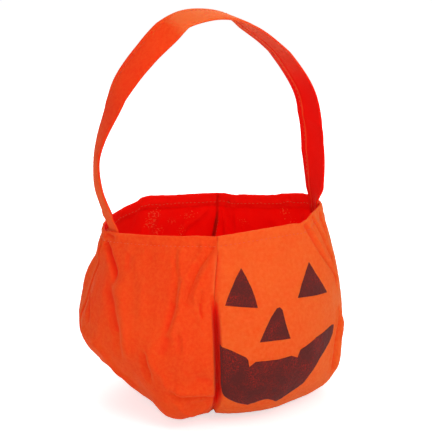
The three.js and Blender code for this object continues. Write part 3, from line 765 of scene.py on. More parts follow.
    def columns_across(self, down: Array, beside: Array) -> Array:
        """Share across of each column: those of the quarter circles, and the open felt's between them.

        The open felt's columns lie at s - c sin(2 pi s) / (2 pi), with s even and c the crowding.

        Args:
            down: Share down of each row.
            beside: Distances in millimetres of the quarter circles' columns from their seam, by rows.

        Returns:
            Shares across, one row for each share down.
        """
        first = beside / self.per_share(down, Side.START)[:, None]
        second = 1 - beside[:, ::-1] / self.per_share(down, Side.END)[:, None]
        shares = np.linspace(0.0, 1.0, self.columns)
        shares = shares - self.crowding * np.sin(2 * math.pi * shares) / (2 * math.pi)
        between = first[:, -1:] + (second[:, :1] - first[:, -1:]) * shares
        return np.hstack([first[:, :-1], between, second[:, 1:]])

    def pad(self, grid: Array) -> Array:
        """Grid with its first and last columns repeated for the allowances."""
        first, last = (np.repeat(edge, self.allowance_columns, 1) for edge in (grid[:, :1], grid[:, -1:]))
        return np.concatenate([first, grid, last], 1)

    def with_allowances(self, front: Array, back: Array, down: Array) -> tuple[Array, Array]:
        """Adds the strips that go on inwards past the seams, leaning together to one side.

        Args:
            front: Outer side of the sheet.
            back: Inner side of the sheet.
            down: Share down of each row.

        Returns:
            Both grids with the allowances' columns at each end.
        """
        room = rise(down, 1.1 * HEM_SHARE, 0.13) * (1 - rise(down, 0.86, 1.0))
        depth = self.allowance * room[:, None] * np.linspace(1.0, 0.2, self.allowance_columns)
        depth = depth + np.linspace(0.08, 0.04, self.allowance_columns)
        strips = []
        for seam in (self.start, self.end):
            lean = (np.radians(seam.tilt) * rise(depth / self.allowance, 0.0, 1.0))[..., None]
            way = -np.cos(lean) * seam.outward(down)[:, None] + np.sin(lean) * seam.along
            strips.append(depth[..., None] * way)
        first, last = strips
        return tuple(np.concatenate([grid[:, :1] + first, grid, grid[:, -1:] + last[:, ::-1]], 1)
                     for grid in (front, back))

    def with_hem(self, front: Array, back: Array, normals: Array,
                 down: Array) -> tuple[Array, Array, Array, Array]:
        """Turns the sheet over the rim, doubled as far down as the hem, and closes the mesh.

        The rim is a half circle: its crest parts the outer side from the inner one.

        Args:
            front: Outer side of the sheet.
            back: Inner side of the sheet.
            normals: Outward directions on the same grid.
            down: Share down of each row.

        Returns:
            Vertices, faces, whether each face is a cut edge, and its material index.
        """
        stack = FELT + CLEAR / 2
        rim, out = front[0], normals[0]
        up = unit(front[0] - front[2])
        turns = []
        for crest, foot in ((87.0, 0.0), (93.0, 180.0)):
            turn = np.radians(np.linspace(crest, foot, self.fold_rows // 2 + 1))[:-1, None, None]
            turns.append(rim + stack * (np.cos(turn) - 1) * out + stack * np.sin(turn) * up)
        doubled = front[:self.hem_rows] - 2 * stack * normals[:self.hem_rows]
        whole_front = np.concatenate([turns[0], front])
        whole_back = np.concatenate([turns[1], doubled, back[self.hem_rows:]])
        vertices, faces, kinds = closed_sheet(whole_front, whole_back)
        return vertices, faces, kinds == 2, np.where(kinds == 0, 0, 1)

    def lint(self, made: bpy.types.Object, clusters: tuple[tuple[float, float, float], ...]) -> None:
        """Writes how thick the lint lies at each vertex: a bell around each cluster over a thin base.

        Args:
            made: The panel's object.
            clusters: Across, down and radius in millimetres of each cluster.
        """
        mesh = made.data
        places = np.zeros(len(mesh.vertices) * 3)
        mesh.vertices.foreach_get("co", places)
        places = places.reshape(-1, 3) / METRE - ORIGIN
        amount = np.full(len(places), THIN_LINT)
        for cluster in clusters:
            amount += THICK_LINT * self.patch(places, *cluster)
        paint(made, "lint", np.clip(amount, 0, 1))

    def line(self, across: Array, down: Array, offset: float) -> tuple[Array, Array]:
        """Places along a line on the panel, raised by an offset, and the outward directions there."""
        normals = self.normal(across, down)
        return self.rolled(across, down) + offset * normals, normals

    def build(self, clusters: tuple[tuple[float, float, float], ...]) -> bpy.types.Object:
        """Makes the panel's object, which stands for its solid and rides on the bag."""
        vertices, faces, cut, slots, deep = self.sheet()
        made = make_mesh(self.name + "_felt", vertices, faces, cut, slots)
        self.lint(made, clusters)
        # The shade layer holds painted shade in creases and clefts, and painted highlights below zero.
        paint(made, "shade", deep)
        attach(made, "bag")
        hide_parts(self.name)
        return made


@dataclass
class StitchRow:
    """Sewn thread as a row of short rounded stitches that dive into the felt at both ends."""

    length: float = 2.9
    pitch: float = 4.0
    radius: float = 0.27
    rings: int = 6
    sides: int = 6
    dive: float = 0.42

    def mesh(self, lines: list[tuple[Array, Array]]) -> tuple[Array, Array]:
        """Stitches along each line, at even steps of its length.

        Each stitch is a round section carried along its run, thin at both ends, and sunk by the square of
        the distance from its middle.

        Args:
            lines: Places and outward directions along each row.

        Returns:
            Vertices and faces of all the stitches.
        """
        vertices, faces, total = [], [], 0
        along = np.linspace(-1.0, 1.0, self.rings)
        thick = self.radius * np.sqrt(np.maximum(1 - along**4, 0.05))
        turn = np.arange(self.sides) * 2 * math.pi / self.sides
        pattern = grid_quads(self.rings, self.sides, ring=True, turn=True)
        ends = np.array([[0, 1, 2, 3], [0, 3, 4, 5]])
        block = self.rings * self.sides
        for points, normals in lines:
            distance = np.r_[0.0, np.cumsum(np.linalg.norm(np.diff(points, axis=0), axis=1))]
            count = max(int((distance[-1] - self.length) / self.pitch), 1)
            middle = self.length / 2 + (distance[-1] - self.length) * np.arange(count + 1) / count
            at = middle[:, None] + along * self.length / 2
            centre = np.stack([np.interp(at, distance, points[:, n]) for n in range(3)], -1)
            out = unit(np.stack([np.interp(at, distance, normals[:, n]) for n in range(3)], -1))
            run = unit(np.gradient(centre, axis=1))
            side = unit(np.cross(run, out))
            centre = centre - (self.dive * along**2)[:, None] * out
            ring = np.cos(turn)[:, None] * side[:, :, None] + np.sin(turn)[:, None] * out[:, :, None]
            tube = centre[:, :, None] + thick[:, None, None] * ring
            vertices.append(tube.reshape(-1, 3))
            start = total + block * np.arange(count + 1)
            faces.append((start[:, None, None] + pattern).reshape(-1, 4))
            low = start[:, None, None] + ends
            high = start[:, None, None] + ends[:, ::-1] + block - self.sides
            faces += [low.reshape(-1, 4), high.reshape(-1, 4)]
            total += block * (count + 1)
        return np.concatenate(vertices), np.concatenate(faces)

    def build(self, name: str, node: str, lines: list[tuple[Array, Array]]) -> bpy.types.Object:
        """Makes the object of a thread, which stands for its solid."""
        vertices, faces = self.mesh(lines)
        made = make_mesh(name, vertices, faces)
        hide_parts(node)
        log.info("%s: %d faces", name, len(faces))
        return made


@dataclass
class Strap:
    """The handle: a strip of felt folded flat and stitched along one edge, sewn inside the rim.

    The hinges are half the width and a lift above the rim, and rise is the height of the arch above
    them. Tab is how far the sewn ends go down inside, inset how far the stitching lies from the edge and
    flap how wide the turned-in edge is. The tack's rows lie tack_inset within the strap's edges, at
    tack_levels over the rim. Bend is the length above the hinges that turns with them. Puff is how much
    the faces swell, dip and inner_dip how deep the stitching lies on the outer and the inner face, and
    cup how far the edges bend away from the outer face. The left end bows outwards at the hinge, and its
    far edge gapes inwards from the rim there.

    Keys are the middle line between the hinges: shares of the half span and of the rise, and the twist
    in degrees. Creases are (share along, height, half length, slant) of small buckles in the strip, each
    a sharp bend over a wide slope. Shade patches are (share along, amount) of painted light: a paler
    painted highlight below zero and deeper painted shade above it.
    """

    left: Seam
    right: Seam
    panels: dict[str, Panel]
    width: float = 28.0
    thick: float = 2.2
    lift_left: float = 3.5
    lift_right: float = 2.0
    rise: float = 166.0
    tab: float = 15.0
    inset: float = 5.0
    flap: float = 7.6
    tack_inset: float = 3.0
    tack_levels: tuple[float, float] = (-5.0, -10.5)
    puff: float = 0.22
    dip: float = 0.45
    inner_dip: float = 0.5
    cup: float = 0.9
    stations: int = 300
    end_stations: int = 25
    end_turns: tuple[float, float] = (11.0, -18.0)
    bend: float = 35.0
    bow: float = 1.2
    gape: float = 6.0
    keys: tuple[tuple[float, float, float], ...] = (
        (-1.092, 0.086, 7), (-1.109, 0.237, 1), (-1.066, 0.351, 5), (-0.953, 0.508, 17),
        (-0.843, 0.646, 32), (-0.66, 0.785, 38), (-0.45, 0.902, 43), (-0.271, 0.975, 30),
        (-0.042, 1.002, 15), (0.146, 0.99, 4), (0.334, 0.934, -13), (0.53, 0.85, -17.5),
        (0.735, 0.72, -24), (0.887, 0.571, -28), (0.956, 0.399, -31), (0.985, 0.218, -30))
    creases: tuple[tuple[float, float, float, float], ...] = (
        (0.436, 2.2, 14.0, 0.8), (0.24, 0.9, 7.0, 0.4), (0.705, 0.9, 8.0, 0.3), (0.86, -1.0, 4.0, 0.5),
        (0.915, -0.9, 4.0, -0.3), (0.35, -0.5, 6.0, -0.2), (0.62, -0.5, 7.0, 0.2))
    # Patches of painted light: painted shade on the left leg and a painted highlight over the top.
    shade_patches: tuple[tuple[float, float], ...] = (
        (0.0, -0.1), (0.06, 0.0), (0.12, 0.3), (0.2, 0.45), (0.3, 0.35), (0.37, 0.25), (0.42, 0.12),
        (0.445, -0.75), (0.5, -0.85), (0.58, -0.5), (0.66, 0.0))

    def __post_init__(self) -> None:
        """Work out the hinges and the middle line."""
        self.stack = 2 * FELT + 2 * CLEAR + self.thick / 2
        self.hinge_left = np.array([self.stack - self.left.line[0, 0], 0.0,
                                    self.left.line[0, 1] + self.width / 2 + self.lift_left])
        self.hinge_right = np.array([self.right.line[0, 0] - self.stack, 0.0,
                                     self.right.line[0, 1] + self.width / 2 + self.lift_right])
        middle = (self.hinge_left + self.hinge_right) / 2
        half = (self.hinge_right[0] - self.hinge_left[0]) / 2
        rows = [(self.hinge_left[0] - self.bow, self.hinge_left[2], self.end_turns[0])]
        rows += [(middle[0] + x * half, middle[2] + z * self.rise, twist) for x, z, twist in self.keys]
        rows += [(*self.hinge_right[[0, 2]], self.end_turns[1])]
        line = through(np.array(rows), self.stations)
        kernel = np.hanning(9) / np.hanning(9).sum()
        twist = np.convolve(np.pad(line[:, 2], 4, mode="edge"), kernel, mode="valid")
        self.line = np.stack([line[:, 0], np.zeros(self.stations), line[:, 1]], -1)
        self.twist = np.radians(twist)

    def frames(self) -> tuple[Array, Array, Array]:
        """Places, directions across and directions out of the outer face, along the free strap."""
        run = unit(np.gradient(self.line, axis=0))
        out = unit(np.cross(run, ACROSS_STRAP))
        wide = np.cos(self.twist)[:, None] * ACROSS_STRAP + np.sin(self.twist)[:, None] * out
        return self.line, wide, unit(np.cross(run, wide))

    def section(self) -> tuple[Array, Array]:
        """Outline of the strip's section: across, from -1 to 1, and height out of its middle.

        Two nearly flat faces between a round folded edge and a round stitched edge. The inner face has
        the step of the turned-in edge, and both faces dip at the stitching.

        Returns:
            Shares across and heights in millimetres, all round the section.
        """
        half, thick = self.width / 2, self.thick / 2
        flat = half - thick
        face = np.linspace(-flat, flat, 49)
        turn = np.radians(np.linspace(90, -90, 7))[1:-1]
        stitching = bell((face - half + self.inset) / 0.9)
        swollen = thick + self.puff * np.cos(face / half * math.pi / 2)
        step = 0.5 * rise(face, half - self.flap - 0.6, half - self.flap)
        outer = swollen - self.dip * stitching
        inner = swollen - self.inner_dip * stitching + step
        across = np.r_[face, flat + thick * np.cos(turn), face[::-1], -flat - thick * np.cos(turn)]
        height = np.r_[outer, thick * np.sin(turn), -inner[::-1], -thick * np.sin(turn)]
        return across, height

    def flap_highlight_and_shade(self) -> Array:
        """Painted highlight on the turned-in flap's edge and painted shade in the line beside it, round the
        section.
        """
        across, height = self.section()
        from_edge = across - (self.width / 2 - self.flap)
        line = 0.85 * bell((from_edge + 0.9) / 0.7) - 0.6 * bell((from_edge - 0.5) / 0.7)
        return np.where(height < -0.5 * self.thick, line, 0.0)

    def cupped(self, across: Array | float) -> Array | float:
        """How far the section bends away from its outer face at distances across: cup x^2, 1 at the edge."""
        return self.cup * (across / (self.width / 2)) ** 2

    def tab_place(self, seam: Seam, across: Array, high: float) -> tuple[Array, Array]:
        """Middle of the strip where it lies on the hem, at distances across and a height above the rim.

        Args:
            seam: The side seam that it is sewn over.
            across: Millimetres along the rim from the seam.
            high: Millimetres above the rim, below zero inside the mouth.

        Returns:
            Places and outward directions.
        """
        before, after = self.panels[seam.name + "_before"], self.panels[seam.name + "_after"]
        down = np.full_like(across, max(-high, 0.0) / seam.span)
        places, out = np.zeros((len(across), 3)), np.zeros((len(across), 3))
        for panel, side, here in ((before, Side.END, across < 0), (after, Side.START, across >= 0)):
            share = np.abs(across) / panel.per_share(down, side)
            share = 1 - share if side is Side.END else share
            places[here] = panel.surface(share, down)[here]
            out[here] = panel.base_normal(share, down)[here]
        out[:, 2] = out[:, 2] * 0.5
        out = unit(out)
        places = places - self.stack * out
        places[:, 2] += max(high, 0.0)
        return places, out

    def gape_at(self, level: float) -> float:
        """Gape of the left end at a height over the rim: widest just above it, and gone sooner below."""
        above = level - 1.5
        return float(self.gape * bell(above / (7.0 if above > 0 else 4.0)))

    def end_rows(self, seam: Seam, hinge: Array, across: Array, height: Array) -> Array:
        """Sections of one sewn end, from the bottom of the tab up to the hinge.

        Each is a mean of the section that lies on the hem and the one that the free strap would have, by
        a share that eases from 0 at the rim to 1 at the hinge.

        Args:
            seam: The side seam that it is sewn over.
            hinge: Place of the hinge.
            across: The section's distances across, along the world's Y direction.
            height: The section's heights out of its middle.

        Returns:
            Places, one row for each section.
        """
        sign = float(np.sign(seam.along[1]))
        above = hinge[2] - seam.line[0, 1]
        levels = np.r_[np.linspace(-self.tab, 0.0, 12)[:-1], np.linspace(0.0, above, 14)[:-1]]
        at_left = hinge[0] < 0
        turn = math.radians(self.end_turns[0] if at_left else self.end_turns[1])
        outward = np.array([-1.0 if at_left else 1.0, 0.0, 0.0])
        wide = math.cos(turn) * ACROSS_STRAP + math.sin(turn) * outward
        outward = math.cos(turn) * outward - math.sin(turn) * ACROSS_STRAP
        far = rise(across, -self.width / 2, self.width / 2) if at_left else np.zeros(len(across))
        rows = []
        for level in levels:
            core, out = self.tab_place(seam, across * sign, float(level))
            gape = self.gape_at(level) * far
            thin = 0.35 + 0.65 * float(rise(level, -self.tab - 0.5, -self.tab + 2.0))
            lying = core + (height[:, None] * out - gape[:, None] * outward) * thin
            straight = hinge + np.array([0.0, 0.0, level - above])
            straight = straight + across[:, None] * wide + height[:, None] * outward
            free = float(rise(level, 0.0, above))
            rows.append(lying * (1 - free) + straight * free)
        return np.array(rows)

    def mesh(self) -> tuple[Array, list, Array]:
        """Closed mesh of the whole strap, with both sewn ends.

        Returns:
            Vertices, faces and the material index of each face.
        """
        across, height = self.section()
        places, wide, face = self.frames()
        share = np.linspace(0.0, 1.0, self.stations)
        length = np.linalg.norm(np.diff(places, axis=0), axis=1).sum()
        free = rise(np.minimum(share, 1 - share)[:, None], 0.0, 0.1)
        lift = height - self.cupped(across) * free
        for at, high, half, slant in self.creases:
            along = (share[:, None] - at) * length + slant * across
            lift = lift + high * np.exp(-np.sqrt(along**2 + 0.6) / half)
        lift = lift + 0.25 * ripple(places, 34.0, 71)[:, None] * np.cos(across / self.width * math.pi)
        loop = places[:, None] + across[:, None] * wide[:, None] + lift[..., None] * face[:, None]
        bowed = self.hinge_left - np.array([self.bow, 0.0, 0.0])
        head = self.end_rows(self.left, bowed, across, height)
        tail = self.end_rows(self.right, self.hinge_right, across, height)[::-1]
        grid = np.concatenate([head, loop, tail])
        rows, cols = grid.shape[:2]
        quads = grid_quads(rows, cols, ring=True)
        inner = np.tile((height[:-1] + height[1:] < 0).tolist() + [False], rows - 1)
        cap = np.arange(cols)
        faces = quads.tolist() + [cap[::-1].tolist(), (cap + (rows - 1) * cols).tolist()]
        slots = np.r_[inner.astype(int), 1, 1]
        return grid.reshape(-1, 3), faces, slots

    def stitch_lines(self) -> list[tuple[Array, Array]]:
        """Rows of stitching along the closed edge, on the inner and the outer face."""
        places, wide, face = self.frames()
        across = self.width / 2 - self.inset
        run = slice(6, self.stations - 6)
        lines = []
        for side in (-1.0, 1.0):
            offset = side * (self.thick / 2 + 0.1) - self.cupped(across)
            lines.append((places[run] + across * wide[run] + offset * face[run], side * face[run]))
        return lines

    def tack_lines(self, seam: Seam) -> list[tuple[Array, Array]]:
        """Two rows of stitching across a sewn end, on its inner face."""
        half = self.width / 2 - self.tack_inset
        across = np.linspace(-half, half, 24)
        lines = []
        for level in self.tack_levels:
            middle, out = self.tab_place(seam, across, level)
            lines.append((middle - (self.thick / 2 + 0.05) * out, -out))
        return lines

    def build(self) -> bpy.types.Object:
        """Makes the strap, which stands for its solids."""
        vertices, faces, slots = self.mesh()
        made = make_mesh("handle_felt", vertices, faces, slots=slots)
        flap_highlight_and_shade = self.flap_highlight_and_shade()
        rows = len(vertices) // len(flap_highlight_and_shade)
        share = np.clip((np.arange(rows) - self.end_stations) / (rows - 2 * self.end_stations), 0, 1)
        # Painted shade: both legs of the strap's inner face turn deep red, away from the light.
        strap_shade = rise(share, 0.68, 0.8) + 1 - rise(share, 0.1, 0.25)
        paint(made, "strap_shade", np.repeat(strap_shade, len(flap_highlight_and_shade)))
        # Patches of painted highlight and painted shade along the strap, with the flap's painted highlight
        # and shade line.
        shade_patches = np.array(self.shade_patches)
        paint(made, "shade", np.clip(np.interp(share, shade_patches[:, 0], shade_patches[:, 1])[:, None] + flap_highlight_and_shade, -1, 1))
        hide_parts("handle_strap", "handle_end_left", "handle_end_right")
        self.blend(made)
        log.info("%s: %d faces", made.name, len(faces))
        return made

    def blend(self, made: bpy.types.Object) -> None:
        """Bakes the piece's placement into its mesh."""
        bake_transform(made)


@dataclass
class FacePrint:
    """One printed shape of the face: the ink lies on the panel between an upper and a lower outline.

    The outlines are (across, down), and the ink goes from foot to lift above the felt.
    """

    name: str
    upper: Path
    lower: Path
    columns: int = 60
    rows: int = 40
    lift: float = 0.22
    foot: float = 0.03

    def build(self, panel: Panel) -> bpy.types.Object:
        """Makes the thin skin of ink that follows the panel's surface.

        Args:
            panel: The panel that carries it.

        Returns:
            The print's object, which stands for its solid and rides on the bag.
        """
        upper, lower = np.array(self.upper), np.array(self.lower)
        corners = np.r_[upper[:, 0], lower[:, 0]]
        fill = np.linspace(corners.min(), corners.max(), self.columns)
        across = np.unique(np.round(np.r_[corners, fill], 5))
        top = np.interp(across, upper[:, 0], upper[:, 1])
        bottom = np.interp(across, lower[:, 0], lower[:, 1])
        share = np.linspace(0.0, 1.0, self.rows)[:, None]
        down = top + (bottom - top) * share
        spread = np.repeat(across[None], self.rows, 0)
        places, normals = panel.rolled(spread, down), panel.normal(spread, down)
        vertices, faces, kinds = closed_sheet(places + self.lift * normals, places + self.foot * normals)
        made = make_mesh(self.name, vertices, faces, kinds == 2)
        close_poles(made)
        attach(made, "bag")
        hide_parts(self.name)
        log.info("%s: %d faces", made.name, len(made.data.polygons))
        return made


class Shader:
    """A material's node tree, with short calls to add and join nodes."""

    def __init__(self, name: str) -> None:
        """Start a material with one Principled shader."""
        self.material = bpy.data.materials.new(name)
        self.material.use_nodes = True
        self.tree = self.material.node_tree
        self.surface = self.tree.nodes["Principled BSDF"]
        self.place = self.add("ShaderNodeTexCoord").outputs["Object"]

    def add(self, kind: str, **values: float | str) -> bpy.types.Node:
        """Adds a node and sets its properties, or its inputs where it has no such property."""
        node = self.tree.nodes.new(kind)
        for key, value in values.items():
            if hasattr(node, key):
                setattr(node, key, value)
            else:
                node.inputs[key.replace("_", " ").title()].default_value = value
        return node

    def join(self, source: bpy.types.NodeSocket, target: bpy.types.NodeSocket) -> None:
        """Links an output to an input."""
        self.tree.links.new(source, target)

    def noise(self, scale: float, detail: float = 2.0, roughness: float = 0.5,
              stretch: tuple[float, float, float] | None = None) -> bpy.types.NodeSocket:
        """Cloudy noise on the object's coordinates, with a scale in periods per metre."""
        node = self.add("ShaderNodeTexNoise", scale=scale, detail=detail, roughness=roughness)
        place = self.place
        if stretch is not None:
            mapping = self.add("ShaderNodeMapping")
            mapping.inputs["Scale"].default_value = stretch
            self.join(place, mapping.inputs["Vector"])
            place = mapping.outputs["Vector"]
        self.join(place, node.inputs["Vector"])
        return node.outputs["Fac"]

    def ramp(self, value: bpy.types.NodeSocket, low: float, high: float, to_low: float = 0.0,
             to_high: float = 1.0) -> bpy.types.NodeSocket:
        """Value spread from between low and high to between to_low and to_high, and held there."""
        node = self.add("ShaderNodeMapRange")
        for key, number in zip(("From Min", "From Max", "To Min", "To Max"), (low, high, to_low, to_high)):
            node.inputs[key].default_value = number
        self.join(value, node.inputs["Value"])
        return node.outputs["Result"]

    def times(self, a: bpy.types.NodeSocket, b: bpy.types.NodeSocket | float,
              how: str = "MULTIPLY") -> bpy.types.NodeSocket:
        """Two values multiplied, or joined by another operation."""
        node = self.add("ShaderNodeMath", operation=how)
        self.join(a, node.inputs[0])
        if isinstance(b, float):
            node.inputs[1].default_value = b
        else:
            self.join(b, node.inputs[1])
        return node.outputs["Value"]

    def mix(self, share: bpy.types.NodeSocket, a: bpy.types.NodeSocket | tuple,
            b: tuple) -> bpy.types.NodeSocket:
        """Colour between a at 0 and b at 1."""
        node = self.add("ShaderNodeMix", data_type="RGBA")
        self.join(share, node.inputs["Factor"])
        if isinstance(a, tuple):
            node.inputs["A"].default_value = (*a, 1.0)
        else:
            self.join(a, node.inputs["A"])
        node.inputs["B"].default_value = (*b, 1.0)
        return node.outputs["Result"]

    def bump(self, heights: list[tuple[bpy.types.NodeSocket, float, float]]) -> None:
        """Chain of bumps: each height with its strength and its depth in metres."""
        normal = None
        for height, strength, depth in heights:
            node = self.add("ShaderNodeBump")
            node.inputs["Strength"].default_value = strength
            node.inputs["Distance"].default_value = depth
            self.join(height, node.inputs["Height"])
            if normal is not None:
                self.join(normal, node.inputs["Normal"])
            normal = node.outputs["Normal"]
        self.join(normal, self.surface.inputs["Normal"])

    def finish(self, colour: bpy.types.NodeSocket, roughness: float) -> bpy.types.Material:
        """Joins the colour and gives the material back."""
        self.join(colour, self.surface.inputs["Base Color"])
        self.surface.inputs["Roughness"].default_value = roughness
        return self.material


def linear(red: int, green: int, blue: int) -> tuple[float, float, float]:
    """Screen colour of 0 to 255 as light: ((c + 0.055) / 1.055)^2.4, or c / 12.92 when dark."""
    shares = [c / 255 for c in (red, green, blue)]
    return tuple(c / 12.92 if c <= 0.04045 else ((c + 0.055) / 1.055) ** 2.4 for c in shares)


@dataclass(frozen=True)
class FeltFinish:
    """Brushed non-woven felt: cloudy colour, matted fibres, a soft sheen and light that soaks in.

    Linty felt carries specks of lint, and felt that takes the strap's shade turns deep red, painted shade,
    where a layer of the mesh says. Another layer paints shade into felt that isn't linty, redder in
    creases, where felt lights felt, and a paler painted highlight where that layer is below zero.
    """

    name: str
    colour: tuple[int, int, int]
    deep: tuple[int, int, int]
    pale: tuple[int, int, int]
    linty: bool = False
    takes_strap_shade: bool = False
    sheen: float = 0.13
    soak: float = 0.65
    soak_depth: float = 0.0025
    # Colours of painted light: deep red for painted shade, deep red in creases, and pale orange for painted
    # highlights.
    shade_red: tuple[int, int, int] = (250, 10, 2)
    crease_shade: tuple[int, int, int] = (242, 18, 2)
    wear_and_highlight: tuple[int, int, int] = (248, 130, 66)
    specks: tuple[int, int, int] = (255, 130, 90)

    def material(self) -> bpy.types.Material:
        """Makes the material: three scales of colour, two of fibre bump, lint where asked, and painted shade
        and highlights from the mesh's layers.
        """
        shader = Shader(self.name)
        cloud = shader.ramp(shader.noise(26.0, 3.0), 0.35, 0.68)
        matted = shader.ramp(shader.noise(340.0, 3.0, 0.6), 0.35, 0.7)
        fibre = shader.noise(FIBRE_SCALE, 3.0, 0.7)
        threads = shader.noise(STRAND_SCALE, 4.0, 0.65, stretch=(1.0, 1.0, 2.6))
        colour = shader.mix(shader.times(cloud, 0.55), linear(*self.colour), linear(*self.deep))
        colour = shader.mix(shader.times(matted, 0.42), colour, linear(*self.pale))
        colour = shader.mix(shader.ramp(fibre, 0.55, 0.75, 0.0, 0.36), colour, linear(*self.pale))
        # Painted shade: deep red where the strap's shade layer says.
        if self.takes_strap_shade:
            amount = shader.add("ShaderNodeAttribute", attribute_name="strap_shade").outputs["Fac"]
            colour = shader.mix(amount, colour, linear(*self.shade_red))
        if self.linty:
            colour = self.add_lint(shader, colour)
        else:
            # Painted shade in creases and clefts mixes towards deep red, and a painted highlight towards pale
            # orange where the layer is below zero.
            shade = shader.add("ShaderNodeAttribute", attribute_name="shade").outputs["Fac"]
            colour = shader.mix(shader.ramp(shade, 0.0, 1.0, 0.0, 0.96), colour, linear(*self.crease_shade))
            colour = shader.mix(shader.ramp(shade, -1.0, 0.0, 0.6, 0.0), colour, linear(*self.wear_and_highlight))
        shader.bump([(threads, 0.5, 0.0006), (fibre, 0.45, 0.00025)])
        surface = shader.surface.inputs
        surface["Sheen Weight"].default_value = self.sheen
        surface["Sheen Roughness"].default_value = 0.45
        surface["Sheen Tint"].default_value = (1.0, 0.42, 0.2, 1.0)
        surface["Specular IOR Level"].default_value = 0.12
        surface["Subsurface Weight"].default_value = self.soak
        surface["Subsurface Radius"].default_value = (1.0, 0.22, 0.08)
        surface["Subsurface Scale"].default_value = self.soak_depth
        return shader.finish(colour, 0.95)

    def add_lint(self, shader: Shader, colour: bpy.types.NodeSocket) -> bpy.types.NodeSocket:
        """Adds pale specks of lint where the panel's lint layer says that it lies thick."""
        amount = shader.add("ShaderNodeAttribute", attribute_name="lint").outputs["Fac"]
        specks = shader.noise(560.0, 3.0, 0.6)
        level = shader.ramp(amount, 0.0, 1.0, 0.80, 0.53)
        above = shader.times(specks, level, "SUBTRACT")
        return shader.mix(shader.ramp(above, 0.0, 0.06, 0.0, 0.6), colour, linear(*self.specks))


@dataclass(frozen=True)
class InkFinish:
    """Dark brown ink printed on felt, thin enough in places for the felt to show."""

    name: str = "print_ink"
    colour: tuple[int, int, int] = (88, 33, 30)
    wear_and_highlight: tuple[int, int, int] = (165, 34, 26)

    def material(self) -> bpy.types.Material:
        """Makes the material: ink mottled with the felt below in two scales."""
        shader = Shader(self.name)
        patches = shader.ramp(shader.noise(60.0, 3.0), 0.40, 0.66)
        grain = shader.ramp(shader.noise(900.0, 3.0, 0.65), 0.47, 0.66)
        fibre = shader.noise(FIBRE_SCALE, 3.0, 0.7)
        share = shader.times(shader.ramp(patches, 0.0, 1.0, 0.12, 1.0), grain)
        colour = shader.mix(share, linear(*self.colour), linear(*self.wear_and_highlight))
        shader.bump([(shader.noise(STRAND_SCALE, 4.0, 0.65), 0.3, 0.0005), (fibre, 0.3, 0.0002)])
        shader.surface.inputs["Sheen Weight"].default_value = 0.05
        shader.surface.inputs["Sheen Roughness"].default_value = 0.5
        shader.surface.inputs["Specular IOR Level"].default_value = 0.12
        return shader.finish(colour, 0.85)


@dataclass(frozen=True)
class ThreadFinish:
    """Spun polyester thread, close to the felt in colour."""

    name: str = "sewing_thread"
    colour: tuple[int, int, int] = (242, 82, 32)
    dark: tuple[int, int, int] = (226, 54, 18)
    twist_scale: float = 3200.0

    def material(self) -> bpy.types.Material:
        """Makes the material: fine twisted streaks and a slight shine."""
        shader = Shader(self.name)
        streaks = shader.ramp(shader.noise(self.twist_scale, 2.0), 0.4, 0.65)
        colour = shader.mix(streaks, linear(*self.colour), linear(*self.dark))
        shader.bump([(shader.noise(self.twist_scale, 2.0), 0.4, 0.0001)])
        shader.surface.inputs["Sheen Weight"].default_value = 0.1
        return shader.finish(colour, 0.6)


def towards(azimuth: float, elevation: float) -> Vector:
    """Direction at degrees round from the bag's front and degrees up from level."""
    a, e = math.radians(azimuth), math.radians(elevation)
    return Vector((math.sin(a) * math.cos(e), -math.cos(a) * math.cos(e), math.sin(e)))


@dataclass(frozen=True)
class Lamp:
    """A square soft light aimed at the bag's middle."""

    name: str
    azimuth: float
    elevation: float
    distance: float
    size: float
    level: float

    def build(self, aim: Vector) -> None:
        """Makes the light; level is what it alone adds to a white surface that faces it."""
        back = towards(self.azimuth, self.elevation)
        data = bpy.data.lights.new(self.name, "AREA")
        data.shape = "SQUARE"
        data.size = self.size
        data.energy = self.level * math.pi**2 * self.distance**2
        lamp = bpy.data.objects.new(self.name, data)
        lamp.location = aim + back * self.distance
        lamp.rotation_euler = back.to_track_quat("Z", "Y").to_euler()
        bpy.context.scene.collection.objects.link(lamp)


